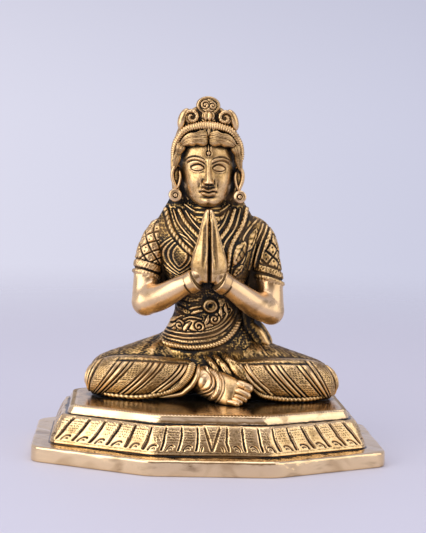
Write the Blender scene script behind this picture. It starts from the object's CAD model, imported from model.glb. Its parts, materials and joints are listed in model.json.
# %% [markdown]
# # A small prayer figurine in cast brass
# The real object is two brass castings: a woman seated with her palms together, and the stepped
# eight-sided plinth she sits on. Such a figure could be sculpted with brushes, but here every form is a
# short formula, so that each line can be read and changed. Everything is worked out in millimetres and
# written to Blender in metres, in the frame of the packed model, so each piece lands where its solid is.

# %% Load the frame
import json

import bpy
import numpy as np

from mathutils import Matrix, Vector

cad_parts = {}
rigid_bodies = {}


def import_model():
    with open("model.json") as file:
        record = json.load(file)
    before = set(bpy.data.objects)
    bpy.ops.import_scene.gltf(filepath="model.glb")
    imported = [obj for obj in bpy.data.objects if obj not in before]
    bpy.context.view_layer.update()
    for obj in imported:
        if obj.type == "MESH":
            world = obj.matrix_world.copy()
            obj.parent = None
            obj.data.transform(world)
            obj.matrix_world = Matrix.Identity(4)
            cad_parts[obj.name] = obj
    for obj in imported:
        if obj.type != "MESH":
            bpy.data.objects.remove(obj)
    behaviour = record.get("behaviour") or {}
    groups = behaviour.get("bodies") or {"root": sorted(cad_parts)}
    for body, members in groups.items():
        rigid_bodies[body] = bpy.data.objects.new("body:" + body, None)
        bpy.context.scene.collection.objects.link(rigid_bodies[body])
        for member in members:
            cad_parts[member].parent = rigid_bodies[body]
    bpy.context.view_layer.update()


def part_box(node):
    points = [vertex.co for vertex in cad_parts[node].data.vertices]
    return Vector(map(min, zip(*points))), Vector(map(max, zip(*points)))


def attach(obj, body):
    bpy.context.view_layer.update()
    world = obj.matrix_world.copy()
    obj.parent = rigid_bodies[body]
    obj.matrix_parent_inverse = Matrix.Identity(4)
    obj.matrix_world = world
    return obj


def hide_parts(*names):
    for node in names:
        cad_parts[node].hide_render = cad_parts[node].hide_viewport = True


for leftover in list(bpy.data.objects):
    bpy.data.objects.remove(leftover)
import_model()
MM = 0.001
_, plinth_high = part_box("plinth")
figure_low, figure_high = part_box("figure")
HALF_WIDTH, HALF_DEPTH, SEAT = (value / MM for value in plinth_high)
SOLE, CROWN = figure_low.z / MM, figure_high.z / MM  # the flat cut under her, and the top of her tiara
print(f"plinth {2 * HALF_WIDTH:.1f} x {2 * HALF_DEPTH:.1f} x {SEAT:.1f} mm, crown at {CROWN:.1f} mm")

# %% [markdown]
# ## The camera
# The photograph was taken with a long lens from a little above her hands and slightly to her right. The
# camera could be placed by eye, but matching the plinth's corners and the statue's height gives all seven
# of its numbers, and the render can then be laid over the photograph.

# %% Place the camera
FRAME_SIZE = (426, 533)  # pixels
FOCAL = 1425  # pixels
SENSOR = 36  # millimetres, along the longer side
EYE = (-33.8, -559.0, 119.5)  # millimetres
TURNED, PITCH, ROLL = -0.062, -0.083, 0.030  # radians: to her left, down, and anticlockwise

camera = bpy.data.objects.new("camera", bpy.data.cameras.new("camera"))
bpy.context.scene.collection.objects.link(camera)
bpy.context.scene.camera = camera
camera.data.sensor_width = SENSOR
camera.data.lens = SENSOR * FOCAL / max(FRAME_SIZE)
camera.data.clip_start, camera.data.clip_end = 0.01, 20  # metres
camera.location = [value * MM for value in EYE]
camera.rotation_mode = "QUATERNION"
aim = Matrix.Rotation(TURNED, 4, "Z") @ Matrix.Rotation(np.pi / 2 + PITCH, 4, "X")
camera.rotation_quaternion = (aim @ Matrix.Rotation(ROLL, 4, "Z")).to_quaternion()
print(f"camera: a lens of {camera.data.lens:.1f} mm, {-EYE[1]:.0f} mm in front of her")

# %% [markdown]
# ## Words for shapes
# A casting is a soft form with chased work on it. It could be built from boxes with subdivision, or from
# swept curves, but both leave the fine work to brushes. In numpy both halves are easy to say: a form is a
# grid of points, rows up it and columns round it, and the chasing is a height in millimetres for every
# point.

# %% Curves through a few values
TURN = 2 * np.pi
SIDES = (-1, 1)  # left and right as seen from the front


def bell(x, width):
    """A soft bump: one at zero, falling to about a third at one width."""
    return np.exp(-((x / width) ** 2))


def rise(x, low, high):
    """Zero below low, one above high, and an S between them."""
    t = np.clip((x - low) / (high - low), 0, 1)
    return t * t * (3 - 2 * t)


def through(rows, place):
    """A smooth curve through rows of [place, value, value, ...], read at any number of places. Between two
    rows it is the S-shaped step from one to the other plus the slopes towards their neighbours."""
    rows = np.asarray(rows, float)
    at, values = rows[:, 0], rows[:, 1:]
    place = np.clip(np.asarray(place, float), at[0], at[-1])
    i = np.clip(np.searchsorted(at, place, side="right") - 1, 0, len(at) - 2)
    before, after = np.maximum(i - 1, 0), np.minimum(i + 2, len(at) - 1)
    gap = at[i + 1] - at[i]
    s = ((place - at[i]) / gap)[..., None]
    a, b = values[i], values[i + 1]
    slope_in = (b - values[before]) * (gap / (at[i + 1] - at[before]))[..., None]
    slope_out = (values[after] - a) * (gap / (at[after] - at[i]))[..., None]
    return a + (b - a) * s * s * (3 - 2 * s) + s * (1 - s) * ((1 - s) * slope_in - s * slope_out)


def evenly(points):
    """The same points with an even place from 0 to 1 in front of each, as through() wants them."""
    return np.column_stack([np.linspace(0, 1, len(points)), points])


def mirrored(path, side):
    """The path itself for side 1, and its mirror image, with x turned round, for side -1."""
    return [(x * side, y, z) for x, y, z in path]


print(f"one width from its middle a bell has fallen to {bell(1, 1):.2f}")


# %% Skins of points, raised along their own normals
def angles(count):
    """Evenly spaced angles round a form, one to a column."""
    return np.linspace(0, TURN, count, endpoint=False)[None, :]


def unit(vectors):
    """Vectors divided by their own lengths."""
    return vectors / np.linalg.norm(vectors, axis=-1, keepdims=True)


def outward(points):
    """Unit normals of a skin: the way round it crossed with the way along it, turned to face outwards."""
    around = np.roll(points, -1, 1) - np.roll(points, 1, 1)
    normal = np.cross(around, np.gradient(points, axis=0))
    normal /= np.maximum(np.linalg.norm(normal, axis=-1, keepdims=True), 1e-9)
    return normal * np.sign((normal * (points - points.mean(axis=1, keepdims=True))).sum())


def raised(points, height):
    """Every point moved out along its normal by its own height."""
    return points + outward(points) * np.broadcast_to(height, points.shape[:2])[..., None]


# %% Limbs: an oval carried along a path
def crowded(along):
    """Places from 0 to 1, one to a ring, crowded towards both ends as the cosine of an even sweep is."""
    return (0.5 - 0.5 * np.cos(np.pi * (0.04 + 0.92 * np.linspace(0, 1, along + 1))))[:, None]


def carried(rows, t):
    """The points at places t of a path, and the unit vectors from a little before to a little after."""
    step = 0.002
    return through(rows, t), unit(through(rows, t + step) - through(rows, t - step))


def square_to(ahead, direction):
    """A direction less its own part along ahead, as unit vectors."""
    direction = np.array(direction, float)
    return unit(direction - ahead * (ahead @ direction)[..., None])


def limb(path, radii, across, along, depthwise=(0, 1, 0), blunt=6, relief=None):
    """An oval section carried along a smooth path: middle + width cos u + depth sin u. radii hold [place,
    half-width, half-depth], the depth lying along depthwise. The ends close as a superellipse of power
    blunt. relief(s, u) raises the skin s millimetres along and u radians round, u being 270 degrees on the
    side that faces against depthwise."""
    t, u = crowded(along), angles(across)
    middle, ahead = carried(evenly(path), t)
    depth = square_to(ahead, depthwise)
    width = np.cross(ahead, depth)
    half_width, half_depth = np.moveaxis(through(radii, t), -1, 0)
    close = np.sqrt(1 - np.abs(2 * t - 1) ** blunt)
    points = middle + width * (np.cos(u) * half_width * close)[..., None]
    points = points + depth * (np.sin(u) * half_depth * close)[..., None]
    if relief is None:
        return points
    length = np.linalg.norm(np.diff(np.array(path, float), axis=0), axis=1).sum()
    return raised(points, relief(t * length, u))


def ridged(pitch, tall):
    """A relief for limb(): ridges across it, tall times the cosine of one whole turn to every pitch."""
    return lambda s, u: tall * np.cos(TURN * s / pitch) + 0 * u


# %% Standing forms, balls and turned parts
def stack(rows, across, heights, crowd=0.0, swell=None):
    """A standing form: oval rings stacked up the Z axis. rows hold [height, half-width, depth in front,
    depth behind, y of the middle]. swell(angle, z) pushes a ring out, angle 0 being the front, and crowd
    draws the columns together there."""
    z = np.asarray(heights, float)[:, None]
    half_width, front, behind, y = np.moveaxis(through(rows, z), -1, 0)
    u = angles(across)
    angle = u - crowd * np.sin(u)
    out = swell(angle, z) if swell else 0
    depth = np.where(np.cos(angle) > 0, front, behind) + out
    return np.stack([(half_width + out) * np.sin(angle), y - depth * np.cos(angle), z + 0 * angle], -1)


def ball(centre, half, across, along):
    """An ellipsoid, its rings running from one pole on the Z axis to the other: sin v cos u, sin v sin u and
    cos v, each times its half size."""
    v = np.pi * np.linspace(0.02, 0.98, along + 1)[:, None]
    u = angles(across)
    sphere = np.stack([np.sin(v) * np.cos(u), np.sin(v) * np.sin(u), np.cos(v) + 0 * u], -1)
    return sphere * np.array(half, float) + np.array(centre, float)


def square_pair(axis, helper):
    """Two unit vectors square to a unit axis and to each other, from two cross products."""
    e1 = np.cross(axis, helper)
    e1 /= np.linalg.norm(e1)
    return e1, np.cross(axis, e1)


def turned(centre, axis, profile, across):
    """A profile of [distance along the axis, radius] spun round an axis through centre: centre + distance
    times axis + radius times (e1 cos u + e2 sin u)."""
    axis = np.array(axis, float) / np.linalg.norm(axis)
    e1, e2 = square_pair(axis, [0, 0, 1.0] if abs(axis[2]) < 0.8 else [1.0, 0, 0])
    u = angles(across)[..., None]
    along, radius = np.array(profile, float).T[..., None, None]
    return np.array(centre, float) + along * axis + radius * (np.cos(u) * e1 + np.sin(u) * e2)


def hoop(radius, width, round_off):
    """The profile of a ring, for turned(): a quarter circle at one edge, its mirror image at the other."""
    edge = np.linspace(np.pi / 2, 0, 8)
    across = -width / 2 + round_off * (1 - np.sin(edge))
    corner = np.column_stack([across, radius - round_off + round_off * np.cos(edge)])
    return np.vstack([[[-width / 2, radius * 0.3]], corner, corner[::-1] * [-1, 1]])


print("a ball of 12 steps by 24 is a grid of", ball((0, 0, 0), (1, 1, 1), 24, 12).shape)


# %% [markdown]
# ## Chasing
# The caster's model was cut and punched by hand: cords laid along curves, grooves, leaves, pits. A painted
# displacement map could carry it, but a map blurs where it is stretched. So each stroke is a height worked
# out from how far a point lies from a curve drawn on the front, seen straight on. Every edge is a soft bell
# and not a step, as metal that has been poured, scraped and polished has no steps.

# %% Distances, random ground and repeated cuts
def nearest(x, z, curve, reach):
    """For every point: how far along a curve its nearest place is, and how far to its left it lies. Points
    further than reach from the curve's box are skipped and given a large distance."""
    along, off = np.zeros_like(x), np.full_like(x, 99.0)
    low, high = curve.min(0) - reach, curve.max(0) + reach
    near = (x > low[0]) & (x < high[0]) & (z > low[1]) & (z < high[1])
    if not near.any():
        return along, off
    start, run = curve[:-1], np.diff(curve, axis=0)
    length = np.linalg.norm(run, axis=1)
    px, pz = x[near][:, None] - start[:, 0], z[near][:, None] - start[:, 1]
    share = np.clip((px * run[:, 0] + pz * run[:, 1]) / length**2, 0, 1)
    gap = np.hypot(px - share * run[:, 0], pz - share * run[:, 1])
    best = gap.argmin(1)[:, None]
    side = np.sign(run[:, 0] * pz - run[:, 1] * px)
    behind = np.concatenate([[0], np.cumsum(length)[:-1]])
    along[near] = np.take_along_axis(behind + share * length, best, 1)[:, 0]
    off[near] = np.take_along_axis(gap * side, best, 1)[:, 0]
    return along, off


NET = 64  # knots along each side of a square net of random values, which repeats beyond it


def grain(a, b, size, seed):
    """Smooth random ground between about -1 and 1: values drawn once on a square net and eased between its
    knots, from two nets turned against each other so that no rows show."""
    net = np.random.default_rng(seed).uniform(-1, 1, (NET, NET))
    total = 0
    for angle, share, part in ((0.3, 1.0, 0.7), (1.4, 0.5, 0.45)):
        p = (a * np.cos(angle) + b * np.sin(angle)) / (size * share)
        q = (b * np.cos(angle) - a * np.sin(angle)) / (size * share)
        i, j = np.floor(p).astype(int), np.floor(q).astype(int)
        s, t = rise(p - i, 0, 1), rise(q - j, 0, 1)
        low = net[i % NET, j % NET] * (1 - s) + net[(i + 1) % NET, j % NET] * s
        high = net[i % NET, (j + 1) % NET] * (1 - s) + net[(i + 1) % NET, (j + 1) % NET] * s
        total = total + part * (low * (1 - t) + high * t)
    return total


def pits(a, b, pitch, depth):
    """Punched dots: a bell-shaped pit in every cell of a brick pattern, none of them quite in its middle."""
    shift = np.random.default_rng(4).uniform(-0.18, 0.18, (NET, NET, 2))
    row = np.floor(b / pitch)
    across = a / pitch + 0.5 * np.mod(row, 2)
    column = np.floor(across)
    off = shift[column.astype(int) % NET, row.astype(int) % NET]
    da, db = across - column - 0.5 + off[..., 0], b / pitch - row - 0.5 + off[..., 1]
    return -depth * bell(np.hypot(da, db), 0.27)


def lattice(a, b, pitch, width, depth):
    """Crossed grooves that leave diamonds, with two punched dots in each: a and b run across and along."""
    p, q = np.mod(a / pitch + b / pitch, 1) - 0.5, np.mod(a / pitch - b / pitch, 1) - 0.5
    size = 0.7 * pitch  # from one groove to the next
    lines = np.minimum(0.5 - np.abs(p), 0.5 - np.abs(q)) * size
    dots = sum(bell(np.hypot(p - k, q + k) * size, 0.32) for k in (-0.17, 0.17))
    return -depth * bell(lines, width) - 0.7 * depth * dots


patch = np.mgrid[0:6:0.1, 0:6:0.1]
print(f"of 0.30 mm asked, dots go {-pits(*patch, 1.0, 0.3).min():.2f} mm deep")


# %% Strokes laid over one another
def covers(distance, reach, power):
    """One within reach and nothing beyond it: the higher the power, the steeper the edge between them."""
    return np.exp(-((distance / reach) ** power))


class Chasing:
    """Work on a front: x and z of every point, and how high it stands there, in millimetres."""

    def __init__(self, points):
        self.x, self.z = points[..., 0], points[..., 2]
        self.height = np.zeros_like(self.x)

    def lay(self, height, cover):
        """Covers what is there with a new height where cover is one."""
        self.height = self.height * (1 - cover) + height * cover

    def along(self, route, reach=3.0):
        """How far along a smooth curve through the route every point is, and how far beside it."""
        return nearest(self.x, self.z, through(evenly(route), np.linspace(0, 1, 8 * len(route))), reach)

    def strand(self, route, half, tall, pitch=0.0, slant=0.0, cut=0.5):
        """A round cord along a route, notched at every pitch, with a groove cut along both sides."""
        s, d = self.along(route)
        notch = 1 - 0.55 * bell(np.mod(s / pitch + slant * d / half, 1) - 0.5, 0.2) if pitch else 1
        cord = tall * notch * bell(d / half, 1) ** 0.5 * bell(d / half, 1.25) ** 2
        groove = -cut * bell(np.abs(d) - half - 0.25, 0.34)
        self.lay(cord + groove, covers(d, half + 0.55, 8))

    def groove(self, route, width, depth):
        """A line cut along a route."""
        _, d = self.along(route)
        self.height = self.height - depth * bell(d, width)

    def boss(self, x, z, radius, tall, rings=()):
        """A round dome with a groove about it. rings are [radius, width, height] of what is turned on it."""
        r = np.hypot(self.x - x, self.z - z)
        dome = tall * np.sqrt(np.clip(1 - (r / (radius * 1.1)) ** 2, 0, 1))
        dome = dome - 0.5 * bell(r - radius - 0.3, 0.35)
        for at, width, height in rings:
            dome = dome + height * bell(r - at, width)
        self.lay(dome, covers(r, radius + 0.6, 10))

    def leaf(self, base, tip, half, tall, veins=4, bend=0.0):
        """A leaf from base to tip: a dome with pointed ends, a groove down its middle and slanting veins."""
        base, tip = np.array(base, float), np.array(tip, float)
        length = np.linalg.norm(tip - base)
        ahead = (tip - base) / length
        x, z = self.x - base[0], self.z - base[1]
        a = (x * ahead[0] + z * ahead[1]) / length
        b = x * -ahead[1] + z * ahead[0] - bend * np.sin(np.pi * np.clip(a, 0, 1))
        wide = half * np.sin(np.pi * np.clip(a, 0.001, 0.999) ** 0.8) + 1e-3
        q = np.where((a > 0) & (a < 1), np.abs(b) / wide, 9)
        dome = tall * np.sqrt(np.clip(1 - q**2, 0, 1))
        cuts = 0.3 * bell(b, 0.22) + 0.2 * bell(np.mod(a * veins - np.abs(b) / half * 0.6, 1) - 0.5, 0.2)
        moat = -0.4 * bell((q - 1) * wide - 0.3, 0.3)
        self.lay(dome - cuts * (q < 1) + moat * (q >= 1), covers(q * wide, wide + 0.55, 10) * (q < 8))

    def scroll(self, x, z, radius, turns, start, half, tall):
        """A spiral cord round (x, z) that winds in from radius; a negative turns winds the other way."""
        sweep = np.linspace(0, 1, 26)
        angle = start + TURN * turns * sweep
        r = radius * (1 - 0.85 * sweep)
        curve = np.column_stack([x + r * np.cos(angle), z + r * np.sin(angle)])
        _, d = nearest(self.x, self.z, curve, 2.0)
        cord = tall * bell(d / half, 1) - 0.45 * bell(np.abs(d) - half - 0.3, 0.3)
        self.lay(cord, covers(d, half + 0.4, 6))


def chased(points, design):
    """Raises the front of a skin by a design, which fades out where the skin turns away to the sides."""
    normal = outward(points)
    work = Chasing(points)
    design(work)
    return points + normal * (work.height * rise(-normal[..., 1], 0.02, 0.3))[..., None]


print("strokes:", ", ".join(name for name in vars(Chasing) if not name.startswith("_")))


# %% [markdown]
# ## From skins to castings
# A casting is one closed body. Its skins could simply overlap, but their hidden insides would then be part
# of the mesh, and a remesh would join them only by rounding off the fine work. So each skin is closed with
# a fan at both ends, and Blender's manifold Boolean joins them all at once. A value painted on each skin
# beforehand, how bare and polished it is, survives the join.

# %% How bare each surface is
BARE = {  # from 0, where the dark skin is whole, to 1, where only polished metal is left
    "torso": 0.2, "hands": 0.52, "shawl": 0.08, "forearm": 1.0, "bangle": 0.85, "beside bangle": 0.0,
    "face": 0.53, "hair": 0.3, "locks": 0.45, "neck": 0.0, "tiara": 0.45, "ear": 0.6, "ear hollow": 0.2,
    "skirt": 0.4, "thigh": 0.25, "hem": 0.35, "seat": 0.08, "ankle fold": 0.5, "lap fold": 0.16,
    "sole": 0.75, "ankle": 0.7, "ankle bone": 0.92, "toe": 0.8, "nail": 0.9,
    "slab": 1.0, "slab edge": 0.9, "petals": 0.53, "ledge": 0.3, "top": 0.38,
}
print(f"{len(BARE)} kinds of surface, the barest", max(BARE, key=BARE.get))

# %% Skins to meshes
def closed(points):
    """(vertices, triangles) of a skin with a fan over both open ends, its faces outwards."""
    rows, columns = points.shape[:2]
    index = np.arange(rows * columns).reshape(rows, columns)
    a, c = index[:-1], index[1:]
    b, d = np.roll(a, -1, 1), np.roll(c, -1, 1)
    first, last = index[0], index[-1]
    poles = rows * columns + np.arange(2)
    triangles = np.concatenate([
        np.stack([a, b, c], -1).reshape(-1, 3),
        np.stack([b, d, c], -1).reshape(-1, 3),
        np.stack([np.roll(first, -1), first, np.full(columns, poles[0])], -1),
        np.stack([last, np.roll(last, -1), np.full(columns, poles[1])], -1),
    ])
    vertices = np.vstack([points.reshape(-1, 3), points[0].mean(0), points[-1].mean(0)])
    p, q, r = (vertices[triangles[:, k]] for k in range(3))
    volume = (p * np.cross(q, r)).sum()
    return vertices, triangles if volume > 0 else triangles[:, ::-1]


def painted(points, value):
    """A value, or one for each point, spread over the vertices of a closed skin, the two poles last."""
    value = np.broadcast_to(value, points.shape[:2])
    return np.concatenate([value.ravel(), [value[0].mean(), value[-1].mean()]])


def write(piece, name, values):
    """Keeps one value for each vertex as a named attribute."""
    mesh = piece.data
    kept = mesh.attributes.get(name) or mesh.attributes.new(name, "FLOAT", "POINT")
    kept.data.foreach_set("value", values.astype(np.float32))


def mesh_object(name, vertices, triangles, bare=0):
    """A Blender object from numpy arrays in millimetres, linked to the scene, with its bareness on it."""
    mesh = bpy.data.meshes.new(name)
    mesh.vertices.add(len(vertices))
    mesh.vertices.foreach_set("co", (vertices * MM).astype(np.float32).ravel())
    mesh.loops.add(triangles.size)
    mesh.loops.foreach_set("vertex_index", triangles.astype(np.int32).ravel())
    mesh.polygons.add(len(triangles))
    mesh.polygons.foreach_set("loop_start", np.arange(0, triangles.size, 3, dtype=np.int32))
    mesh.update(calc_edges=True)
    made = bpy.data.objects.new(name, mesh)
    bpy.context.scene.collection.objects.link(made)
    write(made, "bare", np.broadcast_to(bare, len(vertices)))
    return made


def arrays_of(piece):
    """(vertices in mm, triangles, vertex normals) of a piece's mesh."""
    mesh = piece.data
    mesh.calc_loop_triangles()
    vertices = np.empty(3 * len(mesh.vertices), np.float32)
    mesh.vertices.foreach_get("co", vertices)
    normals = np.empty(3 * len(mesh.vertices), np.float32)
    mesh.vertices.foreach_get("normal", normals)
    triangles = np.empty(3 * len(mesh.loop_triangles), np.int32)
    mesh.loop_triangles.foreach_get("vertices", triangles)
    return vertices.reshape(-1, 3).astype(float) / MM, triangles.reshape(-1, 3), normals.reshape(-1, 3)


trial_vertices, trial_triangles = closed(ball((0, 0, 0), (1, 1, 1), 24, 12))
print(f"the same ball closed: {len(trial_vertices)} vertices, {len(trial_triangles)} triangles")


# %% What lies beside each vertex
def neighbours(triangles):
    """Both ends of every edge, each way round, so that end a has b beside it."""
    ends = np.concatenate([triangles[:, [0, 1]], triangles[:, [1, 2]], triangles[:, [2, 0]]])
    return np.concatenate([ends, ends[:, ::-1]]).T


def smoothed(vertices, triangles, rounds, share=0.5):
    """Moves every vertex a share of the way to the mean of its neighbours, again and again."""
    a, b = neighbours(triangles)
    count = np.maximum(np.bincount(a, minlength=len(vertices)), 1)
    share = np.broadcast_to(share, len(vertices))[:, None]
    smooth = vertices.copy()
    for _ in range(rounds):
        total = [np.bincount(a, smooth[b, axis], len(vertices)) / count for axis in range(3)]
        smooth = smooth + share * (np.stack(total, 1) - smooth)
    return smooth


def filled(values, triangles):
    """The join makes new vertices along every joint and gives them no value. They take the mean of those
    beside them that have one."""
    a, b = neighbours(triangles)
    for _ in range(4):
        known = values >= 1
        total = np.bincount(a, (values * known)[b], len(values))
        count = np.bincount(a, known[b].astype(float), len(values))
        values = np.where(known | (count == 0), values, total / np.maximum(count, 1))
    return np.maximum(values, 1)


def main_shell(count, triangles):
    """True for the vertices of the biggest shell. Each takes the lowest number beside it, then that number's
    own, until none changes. The other shells are pockets of air that the join has sealed in the metal."""
    a, b = neighbours(triangles)
    number = np.arange(count)
    while True:
        lowest = number.copy()
        np.minimum.at(lowest, a, number[b])
        lowest = lowest[lowest]
        if (lowest == number).all():
            return number == np.bincount(number[triangles[:, 0]]).argmax()
        number = lowest


trial_smooth = smoothed(trial_vertices, trial_triangles, 10)
print(f"ten rounds of smoothing take it in to {np.linalg.norm(trial_smooth, axis=1).mean():.2f} of its size")


# %% Many skins to one casting
LEAN = {"shift": 0.5, "slope": 0.027}  # millimetres, and millimetres for each one of height
POLISHED = {"bare": 0.985, "rounds": 60, "above": 0.3}  # where joints are smoothed away, and how often


def lean(points):
    """Her casting stands a little to the right of the plinth's middle and leans back over it to the left."""
    moved = points.copy()
    moved[..., 0] += LEAN["shift"] - LEAN["slope"] * (points[..., 2] - SEAT)
    return moved


def block_below(top, half=90, deep=80):
    """A box of triangles that takes up everything beneath her."""
    corners = [[x, y, z] for z in (top - deep, top) for y in (-half, half) for x in (-half, half)]
    quads = np.array([[0, 2, 3, 1], [4, 5, 7, 6], [0, 1, 5, 4], [2, 6, 7, 3], [0, 4, 6, 2], [1, 3, 7, 5]])
    triangles = np.vstack([quads[:, [0, 1, 2]], quads[:, [0, 2, 3]]])
    return mesh_object("below", np.array(corners, float), triangles)


def joined(skins):
    """(vertices, triangles, bareness plus one) of all skins made one and cut flat at the sole."""
    parts = bpy.data.collections.new("parts")
    objects = []
    for points, bare in skins:
        objects.append(mesh_object("part", *closed(lean(points)), 1 + painted(points, bare)))
    for part in objects[1:]:
        parts.objects.link(part)
    join = objects[0].modifiers.new("join", "BOOLEAN")
    join.operation, join.solver = "UNION", "MANIFOLD"
    join.operand_type, join.collection = "COLLECTION", parts
    below = block_below(SOLE)
    cut = objects[0].modifiers.new("cut", "BOOLEAN")
    cut.operation, cut.solver, cut.object = "DIFFERENCE", "MANIFOLD", below
    graph = bpy.context.evaluated_depsgraph_get()
    whole = bpy.data.objects.new("whole", bpy.data.meshes.new_from_object(objects[0].evaluated_get(graph)))
    vertices, triangles, _ = arrays_of(whole)
    bare = np.empty(len(vertices), np.float32)
    whole.data.attributes["bare"].data.foreach_get("value", bare)
    for part in [*objects, below, whole]:
        bpy.data.meshes.remove(part.data)
    bpy.data.collections.remove(parts)
    return vertices, triangles, bare


def cast(name, skins):
    """One closed body from many skins, each given with how bare it is. Where it is wholly bare, its joints
    are then smoothed away as a polisher would."""
    vertices, triangles, bare = joined(skins)
    kept = main_shell(len(vertices), triangles)
    triangles = (np.cumsum(kept) - 1)[triangles[kept[triangles[:, 0]]]]
    vertices, bare = vertices[kept], filled(bare[kept], triangles) - 1
    share = 0.5 * (bare > POLISHED["bare"]) * (vertices[:, 2] > SOLE + POLISHED["above"])
    made = mesh_object(name, smoothed(vertices, triangles, POLISHED["rounds"], share), triangles, bare)
    print(f"{name}: {len(triangles)} triangles, {(~kept).sum()} vertices in sealed pockets dropped")
    return made


# %% [markdown]
# ## The body
# On the real piece the bodice is chased cloth over a slim trunk. Under the chasing the torso is a stack of
# oval rings, with the bust swelling from it: rings follow measured widths at measured heights more simply
# than a sculpted mesh would. The cords, collars, sash and borders are drawn on its front as routes in x
# and z, as a chaser might draw them before cutting.

# %% Torso
TORSO = [
    [27, 23, 13, 15, 14],
    [40, 20.4, 12.5, 13.5, 13.5],
    [48, 15.6, 10.4, 11.5, 13],
    [55, 12.8, 9.2, 10.6, 12.5],
    [62, 14.2, 9.2, 10.6, 12],
    [69, 16.8, 9.6, 10.6, 12],
    [77, 18.8, 9.8, 10.6, 12],
    [84, 20.8, 9.2, 10.8, 12.5],
    [88.5, 20.6, 7.6, 10.8, 13.2],
    [93, 18.2, 6.4, 10.4, 14],
    [99, 14.8, 4.6, 10.8, 14.8],
    [104, 13.2, 3, 10.2, 14.8],
    [109, 10.4, 2, 7.6, 14.4],
]
BUST = {"x": 7.6, "z": 77.5, "out": 3, "wide": 5.4}


def bust(x, z):
    """How far the bust stands out: two bells across, times one up and down."""
    across = bell(x - BUST["x"], BUST["wide"]) + bell(x + BUST["x"], BUST["wide"])
    return BUST["out"] * across * bell(z - BUST["z"], BUST["wide"])


print(f"torso: {2 * max(row[1] for row in TORSO):.0f} mm wide at most, {len(TORSO)} rows of widths")

# %% [markdown]
# ## The bodice
# It is cast in low relief and cut sharper by hand: collars at the neck, four cords over each shoulder, a
# petal over one side of the chest and a leafy sash over the other. A texture could show them, but in metal
# they catch the light, so they are real heights. Strokes are laid in the order in which one lies on
# another.

# %% The bodice
CORDS = [
    [
        [(-8.8, 94.4), (-6.0, 90.2), (-2, 86)],
        [(-11.2, 94.4), (-8.6, 89.6), (-2.4, 83)],
        [(-13.4, 94.4), (-10.9, 88.3), (-2.8, 79.6)],
        [(-16.5, 94.4), (-14.2, 86.6), (-9.6, 80.8), (-3.6, 76)],
    ],
    [
        [(8.6, 94.6), (6.2, 89.4), (2, 84.6)],
        [(11, 95), (8.4, 88.3), (3, 81.6)],
        [(13.4, 95.4), (11, 88), (6.4, 81.6), (5.4, 74)],
        [(16.2, 95.4), (14.2, 89.4), (9, 80.6), (7.6, 72), (7, 66)],
    ],
]
CORD_SIZES = [(0.4, 0.45, 0), (0.95, 0.6, 1.4), (0.42, 0.5, 0), (1.15, 0.85, 1.7)]  # half, height, notch


def bodice(work):
    """The chest: ground, collars, the cords over both shoulders, the almond panel and the leafy sash."""
    x, z = work.x, work.z
    work.height = 0.14 * grain(x, z, 0.8, 1) + pits(x + 0.5 * z, z, 1.05, 0.25)
    ring = np.abs(x + 11.2) / 2.5 + ((z - 76.8) / 4.6) ** 2
    rings = 0.32 * np.cos(np.clip(ring - 1, 0, 3.2) * TURN / 0.8) + 0.1 * grain(x, z, 0.7, 6)
    work.lay(rings, (ring < 4.2) * rise(4.2 - ring, 0, 0.4) * rise(z, 66, 69))
    work.lay(0.4 + lattice(x, z, 1.3, 0.2, 0.35), rise(1 - ring, 0, 0.15))
    work.lay(0.0, rise(x - 0.25 * (z - 80), 7.5, 8.6) * rise(z, 67, 69))
    vine = [(20.8, 91.5), (17.2, 88), (14.2, 83.6), (15.2, 79.4), (14.6, 76), (12.6, 72.6), (10.2, 68.5)]
    work.strand(vine, 0.42, 0.4)
    work.leaf((19.8, 87.6), (15.6, 78.6), 2.2, 0.75, bend=0.5)
    work.leaf((15.0, 82.6), (9.4, 72.6), 2.7, 0.85, 5, bend=-0.4)
    work.leaf((14.2, 73.4), (9.6, 68.4), 1.5, 0.6)
    for side_x, half, notch in ((22.6, 0.45, 0), (24.5, 0.5, 0), (27.0, 1.1, 1.7)):
        route = [(side_x, 89.4), (side_x - 3.2, 81), (side_x - 5.4, 71)]
        work.strand(route, half, 0.45 + 0.25 * (notch > 0), notch, 0.3)
    for drop, half, notch in ((0, 0.4, 0), (2.9, 1.0, 1.3), (5.3, 0.5, 0)):
        collar = [(-9, 96.8), (-5.4, 94.4), (0, 93), (5.4, 94.6), (9, 97.2)]
        work.strand([(px, pz - drop) for px, pz in collar], half, 0.45, notch)
    for routes in CORDS:
        for route, (half, tall, notch) in zip(routes, CORD_SIZES):
            work.strand(route, half, tall, notch, 0.35, 0.7)


print(f"bodice: {sum(len(routes) for routes in CORDS)} cords over the shoulders")

# %% [markdown]
# ## The belly
# Below her hands the cloth is gathered in folds over a clasp, and a band of stems, curls and leaves runs
# down to a roped edge. One leaf could be repeated, but on the real piece no two are the same. So each has
# its own place, size and bend in a table, and a loop lays them.

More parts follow.
